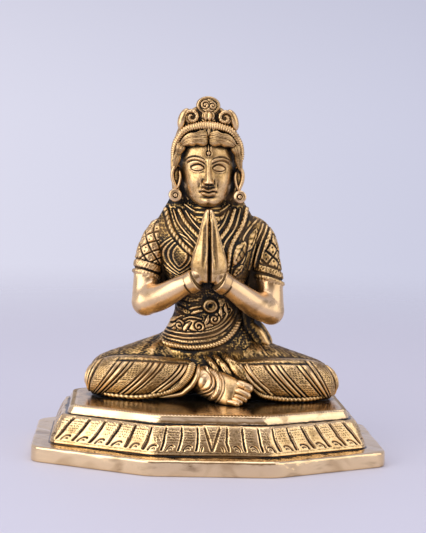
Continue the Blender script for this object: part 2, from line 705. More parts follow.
# %% The belly
BELLY_EDGE = [(-18.4, 41.8), (-14.4, 40.8), (-6.4, 40.2), (3.0, 41.7), (9.0, 45.2), (13, 50.5), (14.6, 56)]
VINE = {  # stems; curls as x, z, radius, turns, start; leaves as base, tip, half-width, bend
    "stems": [
        [(-16.4, 46.2), (-13.4, 47.0), (-9.4, 51.0), (-6.2, 52.2), (-2.6, 51.6)],
        [(-8.4, 46.6), (-4.6, 45.8), (-0.6, 47.2), (3.4, 48.6), (6.4, 51.2), (8.4, 55.0)],
    ],
    "curls": [(-11.0, 48.6, 2.0, -1.2, 2.2), (-3.6, 48.6, 2.1, 1.2, -1.6), (2.6, 51.6, 2.0, -1.2, 0.4)],
    "leaves": [
        ((-6.8, 53.4), (-1.0, 55.2), 0.75, 0.3),
        ((-7.6, 55.2), (-2.0, 56.8), 0.6, 0.2),
        ((-9.6, 46.2), (-6.4, 50.4), 0.8, 0.4),
        ((-14.6, 49.4), (-10.0, 52.6), 0.7, 0.3),
        ((-1.2, 49.4), (0.2, 53.2), 0.8, -0.3),
        ((5.4, 52.6), (5.2, 56.8), 0.8, 0.3),
        ((7.6, 53.8), (7.0, 58.0), 0.7, 0.3),
    ],
}


def belly(work):
    """Below the hands: folds, a round clasp, the leafy band, its double line and its beaded edge."""
    x, z = work.x, work.z
    low = rise(66 - z, 0, 2)
    work.lay(0.2 * grain(x, z, 0.9, 2) + pits(x - 0.3 * z, z, 1.05, 0.3), low)
    for k in range(5):
        work.groove([(-15, 63.5 - 2.4 * k), (-8, 60.5 - 2.6 * k), (-3, 60.5 - 2.2 * k)], 0.4, 0.5)
        work.groove([(15, 64 - 3 * k), (9, 60 - 3.2 * k), (5, 60.6 - 3 * k)], 0.4, 0.45)
    _, d = work.along(BELLY_EDGE, 16)
    band = rise(d, 2.6, 3.2) * rise(11.2 - d, 0, 0.6) * rise(59 - z + 0.4 * x, 0, 2)
    work.lay(0.35 + 0.08 * grain(x, z, 0.7, 9), band)
    for stem in VINE["stems"]:
        work.strand(stem, 0.45, 0.95, cut=0.5)
    for place_x, place_z, radius, turns, start in VINE["curls"]:
        work.scroll(place_x, place_z, radius, turns, start, 0.5, 0.95)
    for base, tip, half, bend in VINE["leaves"]:
        work.leaf(base, tip, half, 1.0, 2, bend)
    for off, half, tall, notch in ((5.4, 0.35, 0.45, 0), (3.7, 0.45, 0.55, 0), (0, 1.25, 0.9, 1.2)):
        shifted = [(px - 0.25 * off, pz + off) for px, pz in BELLY_EDGE]
        work.strand(shifted, half, tall, notch, 0.4, 0.7)
    work.boss(1.0, 57.0, 3.1, 1.0, ((2.3, 0.35, 0.3), (0, 0.75, -1.3)))


print(f"belly: {len(VINE['curls'])} curls and {len(VINE['leaves'])} leaves in the band")

# %% [markdown]
# ## The veil
# A veil falls from her crown to the seat. It could be a sheet of its own, hung behind her, but in a casting
# it is the same metal as her back. So it is only a height on the skins of the head and the trunk, measured
# from the middle of her back, and its folds run on from one skin to the other.

# %% The veil down her back
VEIL_WIDTH = [  # height, half-width
    [36, 19],
    [60, 15],
    [80, 16],
    [97, 15.4],
    [115, 14.2],
    [125, 12],
    [133, 6],
]


def falling(points):
    """The upright folds of the veil, as many at the crown as at the waist, so they run on from one skin to
    the next."""
    x, z = points[..., 0], points[..., 2]
    across = x / through(VEIL_WIDTH, np.clip(z, 36, 133))[..., 0]
    broad = 0.42 * np.cos(TURN * 2.6 * across + 0.5 * np.sin(z / 11))
    return broad + 0.2 * np.cos(TURN * 5 * across + z / 17)


def veil(points):
    """The cloth that falls down her back: soft upright folds, a chased border along its foot."""
    x, z = points[..., 0], points[..., 2]
    border = 0.5 * bell(z - 40, 0.7) - 0.4 * bell(z - 41.6, 0.35) - 0.4 * bell(z - 38.4, 0.35)
    return falling(points) * rise(z, 40, 52) * rise(20 - np.abs(x), 0, 5) + border


print(f"veil: {2 * min(row[1] for row in VEIL_WIDTH)} to {2 * max(row[1] for row in VEIL_WIDTH)} mm wide")


# %% The skin of the trunk
def torso():
    """The skin of the trunk and how bare it is: the leafy band over the belly has been rubbed most."""
    heights = np.concatenate([np.arange(33, 39, 0.8), np.arange(39, 97, 0.32), np.arange(97, 109, 0.9)])
    swell = lambda angle, z: bust(19 * np.sin(angle), z) * (np.cos(angle) > 0)
    points = stack(TORSO, 216, heights, 0.45, swell)
    behind = rise(outward(points)[..., 1], 0, 0.4)
    points = raised(points, veil(points) * behind)

    def design(work):
        bodice(work)
        belly(work)

    _, d = Chasing(points).along(BELLY_EDGE, 16)
    rubbed = 0.14 * (np.abs(d - 5) < 6) * (1 - behind) - 0.1 * (points[..., 2] < 41)
    return chased(points, design), BARE["torso"] + rubbed


body_skins = [torso()]
print("trunk:", body_skins[0][0].shape[:2], "rows and columns")


# %% [markdown]
# ## Arms and hands
# The sleeves end above the elbow in a chased hem, and the forearms below are bare and polished by
# handling. Each arm could be one bent tube, but a tight bend creases the skin of a tube. So the upper arm
# and the forearm are two limbs that meet in a ball at the elbow. The palms meet on the middle line, each
# hand a flat leaf with the fingers' edges cut in.

# %% Sleeves
ARMS = [
    {
        "upper": [(-11, 15.5, 87.6), (-17.6, 15, 85.4), (-21, 14.6, 80), (-23.2, 13.8, 73),
                  (-24.5, 11.6, 64), (-25.0, 8.6, 57.4)],
        "lower": [(-25, 8.6, 57.2), (-19.0, 3, 59.6), (-12.6, -1.8, 64), (-6.9, -4.2, 67.7),
                  (-2.8, -5, 70.4)],
        "cuff": 68.0,
    },
    {
        "upper": [(12, 15.5, 88.4), (19, 15, 86.8), (22.8, 14.6, 82), (24, 13.8, 74),
                  (25.6, 11.6, 64), (25.8, 8.4, 54.9)],
        "lower": [(25.8, 8.4, 54.7), (19.4, 3, 57.2), (12, -1.8, 62.6), (5.8, -4.2, 67.6), (2.2, -5, 70.4)],
        "cuff": 67.2,
    },
]
SLEEVE = {"radius": 5.4, "cells": 6, "pitch": 5.6}


def cuff_height(points, side, cuff):
    """How far above the slanting end of the sleeve a point lies."""
    x, y, z = np.moveaxis(points, -1, 0)
    return z - cuff + 0.2 * (y - 13.2) + 0.28 * (x - 24 * side)


def sleeve(points, side, cuff, u, s):
    """Height of the sleeve: diamonds, a dotted hem between deep grooves, a thin beaded ring, bare skin."""
    h = cuff_height(points, side, cuff)
    around = u * SLEEVE["radius"]
    cells = u / TURN * SLEEVE["cells"] * SLEEVE["pitch"]
    cloth = 0.6 + lattice(cells, s, SLEEVE["pitch"], 0.34, 1.0)
    hem = 0.6 + pits(around, h, 1.1, 0.5)
    beads = 0.3 * bell(np.mod(around / 1.2, 1) - 0.5, 0.2) * bell(h + 0.1, 0.6)
    ring = 0.75 * np.sqrt(np.clip(1 - ((h + 0.1) / 0.9) ** 2, 0, 1)) - beads
    cut = -0.95 * (bell(h - 4.9, 0.32) + bell(h - 1.4, 0.38))
    return np.where(h > 4.9, cloth, np.where(h > 1.2, hem, np.where(h > -1.0, ring, -0.1))) + cut


print(f"sleeves: diamonds {SLEEVE['pitch']} mm apart, {SLEEVE['cells']} round the arm")


# %% Arms
def sashed(points, work):
    """The sash runs over the front of her left shoulder, so it covers the sleeve's own work there."""
    sash = Chasing(points)
    bodice(sash)
    x, z = points[..., 0], points[..., 2]
    front = rise(-outward(points)[..., 1], 0.1, 0.4) * rise(26.6 - x + 0.36 * (z - 87), 0, 1)
    front = front * rise(z, 71, 73)
    return work * (1 - front) + (sash.height + 0.45) * front


def arm(k):
    """Shoulder to elbow in its sleeve, the bare forearm, the elbow and the bangle at the wrist."""
    side, part = SIDES[k], ARMS[k]
    across, along, length = 110, 130, 40
    base = limb(part["upper"], [[0, 4.6, 5], [0.4, 5.4, 5.2], [1, 5.4, 5]], across, along, blunt=30)
    work = sleeve(base, side, part["cuff"], angles(across), length * crowded(along))
    if side > 0:
        work = sashed(base, work)
    below = rise(-0.6 - cuff_height(base, side, part["cuff"]), 0, 0.8)
    cloth_bare = 0.34 - 0.14 * side
    skins = [(raised(base, work), cloth_bare + (1 - cloth_bare) * below)]
    lower = [[0, 5.7, 5.3], [0.3, 5.6, 5.0], [0.8, 3.6, 3.4], [1, 3.1, 3.1]]
    skins.append((limb(part["lower"], lower, 64, 80, blunt=24), BARE["forearm"]))
    elbow = part["upper"][-1]
    skins.append((ball(elbow, (5.9, 5.5, 5.9), 72, 48), BARE["forearm"]))
    crook = (np.array(elbow) + part["lower"][1]) / 2 + (-0.4 * side, 0.6, 2.6)
    skins.append((ball(crook, (4.6, 4.4, 4.4), 40, 26), BARE["forearm"]))
    wrist = np.array(part["lower"][-2]) + (-0.3 * side, 0.1, -0.7)
    axis = (-side * 0.78, -0.3, 0.5)
    skins.append((turned(wrist, axis, hoop(4.15, 5.0, 0.2), 60), BARE["beside bangle"]))
    skins.append((turned(wrist, axis, hoop(4.55, 3.6, 0.7), 60), BARE["bangle"]))
    return skins


arm_skins = arm(0) + arm(1)
print(f"arms: {len(arm_skins)} skins, wrists {np.ptp([part['lower'][-2][0] for part in ARMS]):.1f} mm apart")


# %% [markdown]
# ## Hands
# The palms are pressed together with the fingers up, just under 30 mm tall. The fingers could be ten limbs,
# but joined hands read as one smooth form with thin parting lines. So each hand is a stack of rings whose
# outline is worked out directly, and its fingers are three grooves along the side.

# %% Hands
HANDS = [
    [67.0, 3.4, 2.4],
    [67.8, 4.9, 2.9],
    [69.2, 6.0, 3.4],
    [71.0, 6.8, 3.8],
    [73.6, 7.2, 4.1],
    [78, 6.4, 4.1],
    [85, 4.3, 3.5],
    [92, 2.6, 2.9],
    [94.6, 1.8, 2.2],
    [95.6, 0.8, 1.2],
]


def hand(side):
    """Half of the joined palms, a ring at every height: the back of the hand slopes like a roof from a
    ridge near the middle to the outer edge, thin ridges show the thumbs, and a groove parts the palms."""
    z = np.linspace(67.1, 95.5, 110)[:, None]
    half_width, half_depth = np.moveaxis(through(HANDS, z), -1, 0)
    u = angles(84)
    c, s = np.cos(u), np.sin(u)
    inner = 0.12 + (half_width - 0.12) * (0.5 + 0.5 * np.sign(c) * np.abs(c) ** 0.8)
    slope = np.clip((inner - 0.9) / (half_width - 0.5), 0, 1)
    front = half_depth * (1 - 0.35 * slope - 0.4 * slope**3) * (1 - np.abs(c) ** 9) ** 0.5
    behind = 0.8 * half_depth * np.abs(s)
    y = -5 + 0.04 * (z - 66) + np.where(s < 0, -front, behind)
    thumb = 0.6 * bell(inner - 1.0, 0.34) * rise(z, 74, 78) * rise(93 - z, 0, 3)
    beside = 0.3 * bell(inner - 1.9 - 0.02 * (92 - z), 0.5) * rise(z, 72, 76) * rise(91 - z, 0, 4)
    parted = 1.3 * bell(inner, 0.8) * rise(81 - z, 0, 5)
    y = y - np.where(s < 0, thumb - beside - parted, 0)
    points = np.stack([side * inner, y, z + 0 * u], -1)
    sides = rise(np.abs(outward(points)[..., 0]), 0.5, 0.8)
    fingers = sum(bell(points[..., 1] + 5 - 0.04 * (z - 66) - 1.5 * k, 0.3) for k in (-1, 0, 1))
    return raised(points, -0.3 * sides * fingers * rise(z, 77, 80) * rise(94 - z, 0, 2))


body_skins += [(hand(side), BARE["hands"]) for side in SIDES]
print(f"hands: {HANDS[-1][0] - HANDS[0][0]:.0f} mm from wrist to fingertips")

# %% [markdown]
# ## The shawl
# Cloth fills the gap between each arm and her back. It could be a draped sheet, but it lies in shadow, and
# a limb with loose folds on it shows as much with fewer triangles.

# %% Shawl between the arms and her back
SHAWL = [
    ([(-18.6, 16.5, 90), (-19.4, 17, 77), (-18.8, 16.5, 63)], [[0, 4, 6], [1, 4.6, 5]]),
    ([(18.4, 16.5, 90), (19.2, 17, 72), (17, 16, 57), (16.8, 15, 49), (20.4, 14.4, 45), (24.8, 14, 38)],
     [[0, 4, 6], [0.7, 4.4, 5], [1, 4.4, 5]]),
]


def cloth(s, u):
    """Loose folds along a hanging length of cloth, with a little random ground."""
    return 0.22 * np.cos(6 * u + 0.6 * np.sin(s / 6)) + 0.1 * grain(s + 0 * u, 4 * u + 0 * s, 1.2, 3)


for path, radii in SHAWL:
    body_skins.append((limb(path, radii, 56, 60, blunt=12, relief=cloth), BARE["shawl"]))
body_skins += arm_skins
print(f"body: {len(body_skins)} skins")

# %% [markdown]
# ## The head
# The face is a plain calm one on the usual thirds: hairline to brow, brow to nose and nose to chin are
# about equal, and the eyes are one eye apart. A sculptor would start from planes. Here the features are
# bumps and grooves on an egg of rings, each set by a named height, so that the proportions can be read.

# %% Head and face
HEAD = [
    [96.2, 2, 2, 3, 5],
    [97.6, 5.2, 5.4, 5, 7.4],
    [100.4, 7.9, 8.4, 8, 9.8],
    [104.5, 9.9, 10.2, 10, 11.4],
    [110, 10.9, 11, 11, 12],
    [115.5, 11.2, 11.1, 11, 12],
    [120.5, 10.4, 10.4, 11, 12.2],
    [124.5, 8.2, 8, 9, 12.8],
    [127.5, 4, 4, 5, 13.4],
]
FACE = {"brow": 114.2, "eye": 111.2, "nose": 105.8, "mouth": 102.1, "chin": 98.6, "eye_x": 4.4}


def face(work):
    """Brows, lowered lids, nose, closed lips and chin, each an arc or a bump about the named heights. Cut
    lines along the brows and the lids hold the dark."""
    x, z = np.abs(work.x), work.z
    brow, eye, nose, mouth, chin, eye_x = FACE.values()
    down = np.clip((brow - z) / (brow - nose), 0, 1)
    bridge = (0.55 + 2.0 * down**1.4) * bell(x, 0.8 + 0.55 * down) * rise(z, nose - 0.9, nose - 0.1)
    wings = 0.8 * bell(x - 1.45, 0.75) * bell(z - nose - 0.15, 0.7)
    h = bridge * rise(brow + 1.5 - z, 0, 1.5) + wings
    h -= 0.5 * bell(x - 0.8, 0.35) * bell(z - nose + 0.95, 0.3)
    h -= 0.55 * bell(x - 2.2 - 0.3 * down, 0.45) * bell(z - nose - 0.2, 1.0)
    h -= 0.95 * bell(x - 3.6, 2.9) * bell(z - eye - 0.6, 1.9)
    arch = brow - 0.6 + 1.7 * np.sin(np.pi * np.clip((x - 1.0) / 8.4, 0, 1)) ** 0.8
    on_brow = rise(x, 1.0, 1.8) * rise(9.2 - x, 0, 1.2)
    h += (0.42 * bell(z - arch, 0.5) - 0.42 * bell(z - arch + 0.85, 0.33)) * on_brow
    h -= 0.25 * bell(z - arch - 0.8, 0.3) * on_brow
    lid = np.clip(1 - ((x - eye_x) / 2.8) ** 2, 0, 1)
    h += 0.85 * np.sqrt(np.clip(lid - ((z - eye) / 1.6) ** 2, 0, 1))
    h -= 0.6 * bell(z - eye - 0.15 + 1.1 * lid, 0.3) * (lid > 0)
    h -= 0.6 * bell(z - eye - 0.3 - 1.4 * lid, 0.32) * (lid > 0)
    h += 0.35 * bell(z - eye - 0.1 + 0.45 * lid, 0.25) * (lid > 0) * lid
    lips = rise(3.3 - x, 0, 1.3)
    line = mouth - 0.14 * np.cos(TURN * x / 3.4) + 0.1 * x
    h += lips * (0.8 * bell(z - line - 0.66, 0.55) + 0.9 * bell(z - line + 0.85, 0.65))
    h -= lips * (0.9 * bell(z - line, 0.26) + 0.4 * bell(z - line - 1.55, 0.4))
    philtrum = 0.35 * bell(x, 0.5) * bell(z - (nose + mouth) / 2, 0.9)
    h -= philtrum + 0.45 * bell(x - 3.3, 0.5) * bell(z - mouth, 0.5)
    h += 0.75 * bell(x, 2.3) * bell(z - chin, 1.3) - 0.5 * bell(x, 2.4) * bell(z - mouth + 2.2, 0.5)
    h += 0.5 * bell(x - 6, 2.6) * bell(z - nose - 0.6, 3)
    h -= 0.3 * bell(x - 3.6, 0.5) * bell(z - nose + 0.9, 1.5)
    work.height = h
    work.boss(0, 117.4, 0.75, 0.5)
    work.strand([(0, 122.6), (0, 120.4), (0, 118.8)], 0.35, 0.35, 0.8)


head_heights = np.concatenate([np.arange(96.3, 120, 0.25), np.arange(120, 127.4, 0.7)])
head_skins = [(chased(stack(HEAD, 190, head_heights, 0.62), face), BARE["face"])]
thirds = np.diff([FACE["chin"], FACE["nose"], FACE["brow"]]).round(1)
print("face: chin to nose and nose to brow", thirds, "mm")

# %% [markdown]
# ## Hair
# Her hair is parted in the middle and combed back in waves from the brow. Blender's own hair would look
# soft, and cast hair is not: it is a few thick locks with strands cut in. So two limbs a side lie over a
# plain form, and the sum of two cosines cuts their strands.

# %% Hair
HAIR = [
    [87, 8, 1, 7.4, 14],
    [92, 12, 3, 10, 14.2],
    [97, 13, 4, 11.2, 14.6],
    [103, 13.8, 5.4, 11.8, 14.4],
    [110, 14.3, 6.2, 12.6, 14],
    [117, 14.2, 8.2, 12.8, 14],
    [121, 13.4, 11.2, 12, 13.8],
    [125, 12, 12.4, 10.8, 13.4],
    [128, 10.8, 11.6, 9.4, 12.6],
    [131.5, 8.2, 7, 6.6, 11.6],
    [133.6, 4, 3.4, 3, 11],
]


def hair():
    """Locks at the front and sides, and behind them the veil, its folds running down from the crown."""
    points = stack(HAIR, 150, np.concatenate([np.linspace(87, 97, 12)[:-1], np.linspace(97, 133.6, 88)]))
    x, y, z = np.moveaxis(points, -1, 0)
    angle = np.arctan2(x, 13.5 - y)
    back = rise(y, 13, 17)
    locks = 0.3 * np.cos(46 * angle + 0.5 * np.sin(z / 3)) * (1 - back)
    return raised(points, locks + falling(points) * back * rise(133 - z, 0, 10))


def waves(side):
    """Two locks: one swells from the parting over the brow in two scallops and ends in a blunt tip. The
    other starts behind that tip and waves down to the ear. Strands are cut in above a plain rolled edge."""
    locks = [
        ([(0.1, 1.8, 123.3), (4.0, 0.6, 122.9), (7.4, 1.2, 122.2), (10.6, 3.4, 120.6)],
         [[0, 2.6, 1.3], [0.22, 3.0, 1.8], [0.42, 2.3, 1.7], [0.6, 2.5, 1.8], [0.84, 1.7, 1.4],
          [1, 0.7, 0.8]]),
        ([(9.6, 4.2, 121.4), (11.0, 4.4, 118.6), (12.0, 5.6, 115.4), (13.0, 7.0, 110.6)],
         [[0, 1.2, 1.0], [0.25, 1.7, 1.6], [0.5, 1.2, 1.2], [0.72, 1.4, 1.4], [1, 0.7, 1.0]]),
    ]
    above = lambda u: np.clip(side * np.cos(u + 0.5 * side) + 0.15, 0, 1)
    strands = lambda s, u: (0.14 * np.cos(25 * u + 0.5 * s) + 0.12 * np.cos(9 * u + 0.3 * s)) * above(u)
    return [limb(mirrored(path, side), radii, 130, 50, blunt=12, relief=strands) for path, radii in locks]


head_skins.append((hair(), BARE["hair"]))
print(f"hair: {2 * max(row[1] for row in HAIR):.1f} mm across, {len(waves(1))} locks a side over it")


# %% [markdown]
# ## Neck and tiara
# Folds ring the neck. Over the hair goes a fluted band, and above it a crest with a round lobe, curls,
# horns and a fan. Ornaments that are many and alike would be copies of one mesh. These are few and all
# different, so each is a limb or a ball of its own, and the join makes them one casting.

# %% Neck and tiara
def lobe(work):
    """The lobe's chasing: fine ground, two scrolls, and a raised rim with a groove inside it."""
    work.height = 0.12 * grain(work.x, work.z, 0.6, 5)
    work.scroll(-1.3, CROWN - 3.6, 1.7, 1.3, 1.2, 0.35, 0.4)
    work.scroll(1.6, CROWN - 3.8, 1.5, -1.3, 2.0, 0.35, 0.4)
    rim = np.hypot(work.x / 4.8, (work.z - CROWN + 3.7) / 3.8)
    work.lay(0.35 * bell(rim - 0.84, 0.08) - 0.4 * bell(rim - 0.7, 0.06), rise(rim, 0.62, 0.7))


def curl_and_horn(side):
    """A ridged curl that winds in over a round boss, and the horn outside it."""
    t = np.linspace(0, 1, 14)
    angle = np.pi * 0.1 + TURN * 1.25 * t
    r = 2.7 * (1 - 0.8 * t)
    curl = np.column_stack([side * (6.5 + r * np.cos(angle)), 2.3 - 0.5 * t, 131.3 + r * np.sin(angle)])
    horn = mirrored([(10.7, 4.6, 126.4), (10.4, 4, 129.6), (9.4, 3.5, 132.4), (7.7, 3.4, 134.5)], side)
    return [
        limb(curl, [[0, 0.9, 1.5], [1, 0.7, 1.2]], 20, 90, relief=ridged(0.9, 0.08)),
        ball((side * 6.4, 3.0, 131.2), (2.9, 1.5, 2.8), 40, 24),
        limb(horn, [[0, 1.5, 1.7], [0.5, 1.7, 1.9], [1, 1.1, 1.2]], 32, 50),
    ]


def tiara():
    """A fluted band over the hair, a crest behind it with a round lobe, two curls, two horns and a fan."""
    arch = [(13.6, 9.2, 114.2), (13.1, 7.4, 118.6), (11.8, 5, 122.4), (8.8, 3, 126.2), (4.4, 2, 127.8)]
    band = [*mirrored(arch, -1), (0, 1.7, 128.2), *arch[::-1]]
    thick = [[0, 1.3, 1.4], [0.5, 1.7, 1.5], [1, 1.3, 1.4]]
    skins = [limb(band, thick, 24, 300, blunt=12, relief=ridged(0.95, 0.2))]
    crest = [(0, 5.2, 125), (0, 5, 129.5), (0, 4.8, 134), (0, 4.8, 136.4)]
    thick = [[0, 11.2, 2.4], [0.35, 9.8, 2.2], [0.62, 7.4, 2.1], [1, 3.4, 1.9]]
    skins.append(limb(crest, thick, 90, 50, blunt=10))
    skins.append(chased(ball((0, 3.8, CROWN - 3.7), (4.8, 2.5, 3.7), 96, 64), lobe))
    for side in SIDES:
        skins += curl_and_horn(side)
    fan = [(0, 3, 129.8), (0, 2.2, 131.4), (0, 2.4, 133.6)]
    ribs = lambda s, u: 0.22 * np.cos(7 * u) + 0 * s
    skins.append(limb(fan, [[0, 1.2, 0.8], [0.5, 2.3, 1.1], [1, 2.1, 1]], 60, 24, relief=ribs))
    foot_of_fan = [(-3, 3, 130.6), (0, 2.4, 129.2), (3, 3, 130.6)]
    skins.append(limb(foot_of_fan, [[0, 0.4, 0.6], [0.5, 0.7, 0.9], [1, 0.4, 0.6]], 16, 30))
    return [(points, BARE["tiara"]) for points in skins]


NECK_PATH = [(0, 12, 84), (0, 11.6, 92), (0, 11.4, 99)]
NECK_RADII = [[0, 8, 6.5], [0.5, 6.4, 6], [1, 6, 5.8]]
neck = limb(NECK_PATH, NECK_RADII, 72, 40, blunt=20, relief=ridged(1.9, 0.25))
head_skins += [(neck, BARE["neck"]), *tiara()]
print(f"tiara: its lobe ends at {CROWN:.1f} mm")


# %% [markdown]
# ## Ears and earrings
# A heavy disc hangs from each ear. A cylinder with inset faces would do from afar, but a lathe makes such a
# disc, and turned() works in the same way: a profile spun round an axis, with its ring and boss in the
# profile. The ear is a hollow with two rims swept round it.

# %% Ears and earrings
def ear(side):
    """An ear with a raised rim round a dark hollow, and the disc that hangs from it: pale, with a dark ring
    and a small boss."""
    hollow = ball((12.3 * side, 8.4, 108), (1.5, 1.9, 4.2), 40, 30)
    rim = [(10.9, 8.0, 111.6), (12.6, 6.8, 112.3), (13.9, 6.9, 110), (13.9, 7.2, 107),
           (12.9, 7.2, 104.2), (12.2, 7.4, 102.6)]
    inner = [(11.3, 6.6, 110.4), (10.9, 6.4, 107.8), (11.4, 6.7, 105), (12.2, 7.2, 103)]
    skins = [(hollow, BARE["ear hollow"])]
    for route, half in ((rim, 0.8), (inner, 0.6)):
        thick = [[0, half * 0.7, 1], [0.5, half, 1.2], [1, half, 1]]
        skins.append((limb(mirrored(route, side), thick, 24, 50), BARE["ear"]))
    disc = [[2.6, 0.5], [2.6, 2.3], [-0.3, 2.55], [-0.8, 2.4], [-1.0, 2.0], [-1.1, 1.3], [-0.5, 1.05],
            [-0.5, 0.85], [-1.0, 0.7], [-1.2, 0.2]]
    fine = through(evenly(disc), np.linspace(0, 1, 50))
    shade = 0.9 - 0.9 * bell(fine[:, 1] - 0.95, 0.2) * (fine[:, 0] < 0)
    return [*skins, (turned((side * 12.9, 7.0, 100.4), (0.1 * side, 1, 0), fine, 56), shade[:, None])]


for side in SIDES:
    head_skins += [(lock, BARE["locks"]) for lock in waves(side)] + ear(side)
print(f"head: {len(head_skins)} skins")

# %% [markdown]
# ## Crossed legs
# The skirt is pulled round each leg in slanting pleats: a band of punched dots, then smooth folds with
# dark grooves between them. A cloth simulation gives folds that can't be placed, and here each one has its
# place. So the leg is an oval carried from ankle to knee, and the pleats are heights on it. Its columns run
# down the pleats, which keeps their edges sharp with fewer triangles than an even grid.

# %% The pleated skirt over each shin
SHIN = {
    "path": [(2, 3, 28.8), (9, 0.4, 28.6), (20, -0.8, 28.4), (31, 0.6, 28), (41, 4.6, 27.4),
             (48.4, 10, 26.6)],
    "radii": [[0, 5, 5], [0.2, 7, 6.6], [0.45, 8.6, 8.4], [0.7, 8.8, 8.8], [0.9, 7.4, 8], [1, 6.2, 7]],
    "length": 52,
    "round": 8.4,
}
REACH = {-1: 0.975, 1: 1.06}  # the right knee stands out a little further
SLANT = {-1: 1.0, 1: 0.85}  # how far the pleats lean
PHASE = {-1: 0.25, 1: 0.1}  # where on the leg the first of them begins
PLEATS = {"pitch": 10.4, "grooves": (0, 0.5, 0.63, 0.85), "groove": 0.72, "fold": 0.38}


def pleats(place, height):
    """Height of the skirt over the leg, one unit of place to a pleat: a punched band, then a narrow, a broad
    and a narrow fold, with a cut groove beside each."""
    within = np.mod(place, 1)
    edges = [*PLEATS["grooves"], 1]
    total = pits(place * PLEATS["pitch"], height, 0.86, 0.36)
    total = total * rise(0.49 - within, 0, 0.03) * rise(within, 0, 0.03)
    for low, high in zip(edges[1:-1], edges[2:]):
        q = (within - (low + high) / 2) / ((high - low) / 2)
        total = total + PLEATS["fold"] * np.sqrt(np.clip(1 - q**2, 0, 1))
    for edge in edges:
        total = total - PLEATS["groove"] * bell((within - edge) * PLEATS["pitch"], 0.36)
    return total


def shin(side):
    """The folded leg, an oval carried from the ankle to the knee. Its columns are slid along it by their
    height, so that they run down the slanting pleats and these stay sharp. The lower corner of the knee is
    plain and rubbed bright. Returns the skin and how bare it is."""
    length = SHIN["length"]
    w = 0.012 + 0.976 * np.linspace(0, 1, 216)[:, None]
    u = angles(132)
    u = u - 0.4 * np.sin(u)
    front, up = np.cos(u), np.sin(u)
    drop = 7.5 - 8.5 * up
    slant = (0.5 * drop + 0.028 * drop**2 - 4.9) / length * SLANT[side]
    middle_part = rise(w, 0, 0.34) * rise(1 - w, 0, 0.34)
    t = w + slant * middle_part * rise(front, -0.4, 0.1)
    middle, ahead = carried(evenly(mirrored(SHIN["path"], side * REACH[side])), t)
    half_height, half_depth = np.moveaxis(through(SHIN["radii"], t), -1, 0)
    close = np.sqrt(1 - np.abs(2 * w - 1) ** 7)
    points = middle + square_to(ahead, (0, -1, 0)) * (front * half_depth * close)[..., None]
    points = points + square_to(ahead, (0, 0, 1)) * (up * half_height * close)[..., None]
    knee = rise(w, 0.72, 0.8)
    polished = rise(w, 0.86, 0.93) * rise(-up, 0.15, 0.4)
    seams = np.maximum(rise(0.84 - up, 0, 0.08), knee * rise(0.99 - up, 0, 0.04)) * rise(up + 0.74, 0, 0.08)
    folds = pleats(w * length / PLEATS["pitch"] + PHASE[side], u * SHIN["round"])
    folds = folds * rise(front, 0, 0.25) * seams
    hem = bell((up - 0.86) * 8, 0.4) * (1 - knee) + bell((up + 0.78) * 8, 0.6)
    top = rise(up, 0.84, 0.9) * rise(front, -0.2, 0.2) * (1 - knee)
    ground = grain(w * 60, u * SHIN["round"], 0.8, 8) * 0.14 * top
    carved = folds * (1 - polished) - 0.5 * hem * rise(front, 0, 0.3) + ground
    return raised(points, carved * np.minimum(1, 12 * (1 - w))), BARE["skirt"] - 0.1 * top + 0.55 * polished


print(f"pleats: {SHIN['length'] / PLEATS['pitch']:.1f} on each leg, grooves {PLEATS['groove']} mm deep")

# %% [markdown]
# ## Hems and loose folds
# A roped cord edges the skirt under each leg, smooth folds lie beside the ankle, and punched ones hang down
# behind the foot. Two twisted strands could make the rope, but a cast rope has no gap between its strands.
# So it is one cord whose height swells along a spiral.

# %% Hems and loose folds
HEMS = [  # route and its [place, half-width, half-depth], one for each leg
    ([(-6.1, -3.0, 34.8), (-7.5, -6.4, 31.2), (-10, -7.1, 28), (-12.6, -7.1, 25.6), (-17.7, -7.0, 23.2),
      (-27, -7.0, 21.6), (-38, -3.7, 21.6), (-45.8, 3.2, 22.9)],
     [[0, 1.7, 1.2], [0.28, 1.6, 1.2], [0.5, 1.15, 1.2], [1, 0.9, 0.9]]),
    ([(15.2, -6.9, 28.6), (17.6, -7.5, 25.4), (21, -7.5, 23.1), (29, -7.0, 21.8), (39, -4.8, 21.6),
      (47, 0.6, 22.4), (51, 6.9, 24.6)],
     [[0, 0.8, 1], [0.3, 1.05, 1.2], [1, 0.9, 0.9]]),
]
ANKLE_FOLDS = [  # the smooth ones beside the ankle: route, half-width
    ([(-20, -6.5, 21.4), (-11.7, -7.0, 22.9), (-9, -7.4, 24.6), (-6.4, -7.7, 27.2), (-4.5, -7.3, 30.9),
      (-3.8, -4.2, 34.4)], 1.1),
    ([(12.0, -4.6, 35.2), (14.4, -6.8, 31.2), (17.0, -7.7, 28.0), (21, -8.0, 24.8)], 1.0),
    ([(14.6, -4.6, 35.4), (16.8, -6.8, 31.6), (19.6, -7.7, 28.2), (24, -7.9, 24.8)], 0.9),
]
LAP_FOLDS = [  # the punched ones that hang down behind the foot
    ([(-1.8, 2.6, 37.0), (0.4, -2.6, 35.8), (2.2, -5.6, 33.6), (3.6, -6.3, 31.2), (4.8, -6.2, 28.6)], 1.3),
    ([(1.8, 2.6, 37.4), (3.8, -2.8, 36.0), (6.0, -6.0, 33.6), (7.8, -6.8, 31.0), (9.6, -6.6, 28.0)], 1.5),
    ([(5.6, 2.2, 37.6), (7.8, -3.2, 36.2), (10.4, -6.5, 33.6), (12.8, -7.5, 31.0), (15.2, -7.5, 28.0)], 2.0),
]


def rope(s, u):
    """A flat cord cut with slanting notches: the surface swells where s and u add up to whole turns."""
    return 0.13 * np.cos(TURN * s / 1.2 + u)


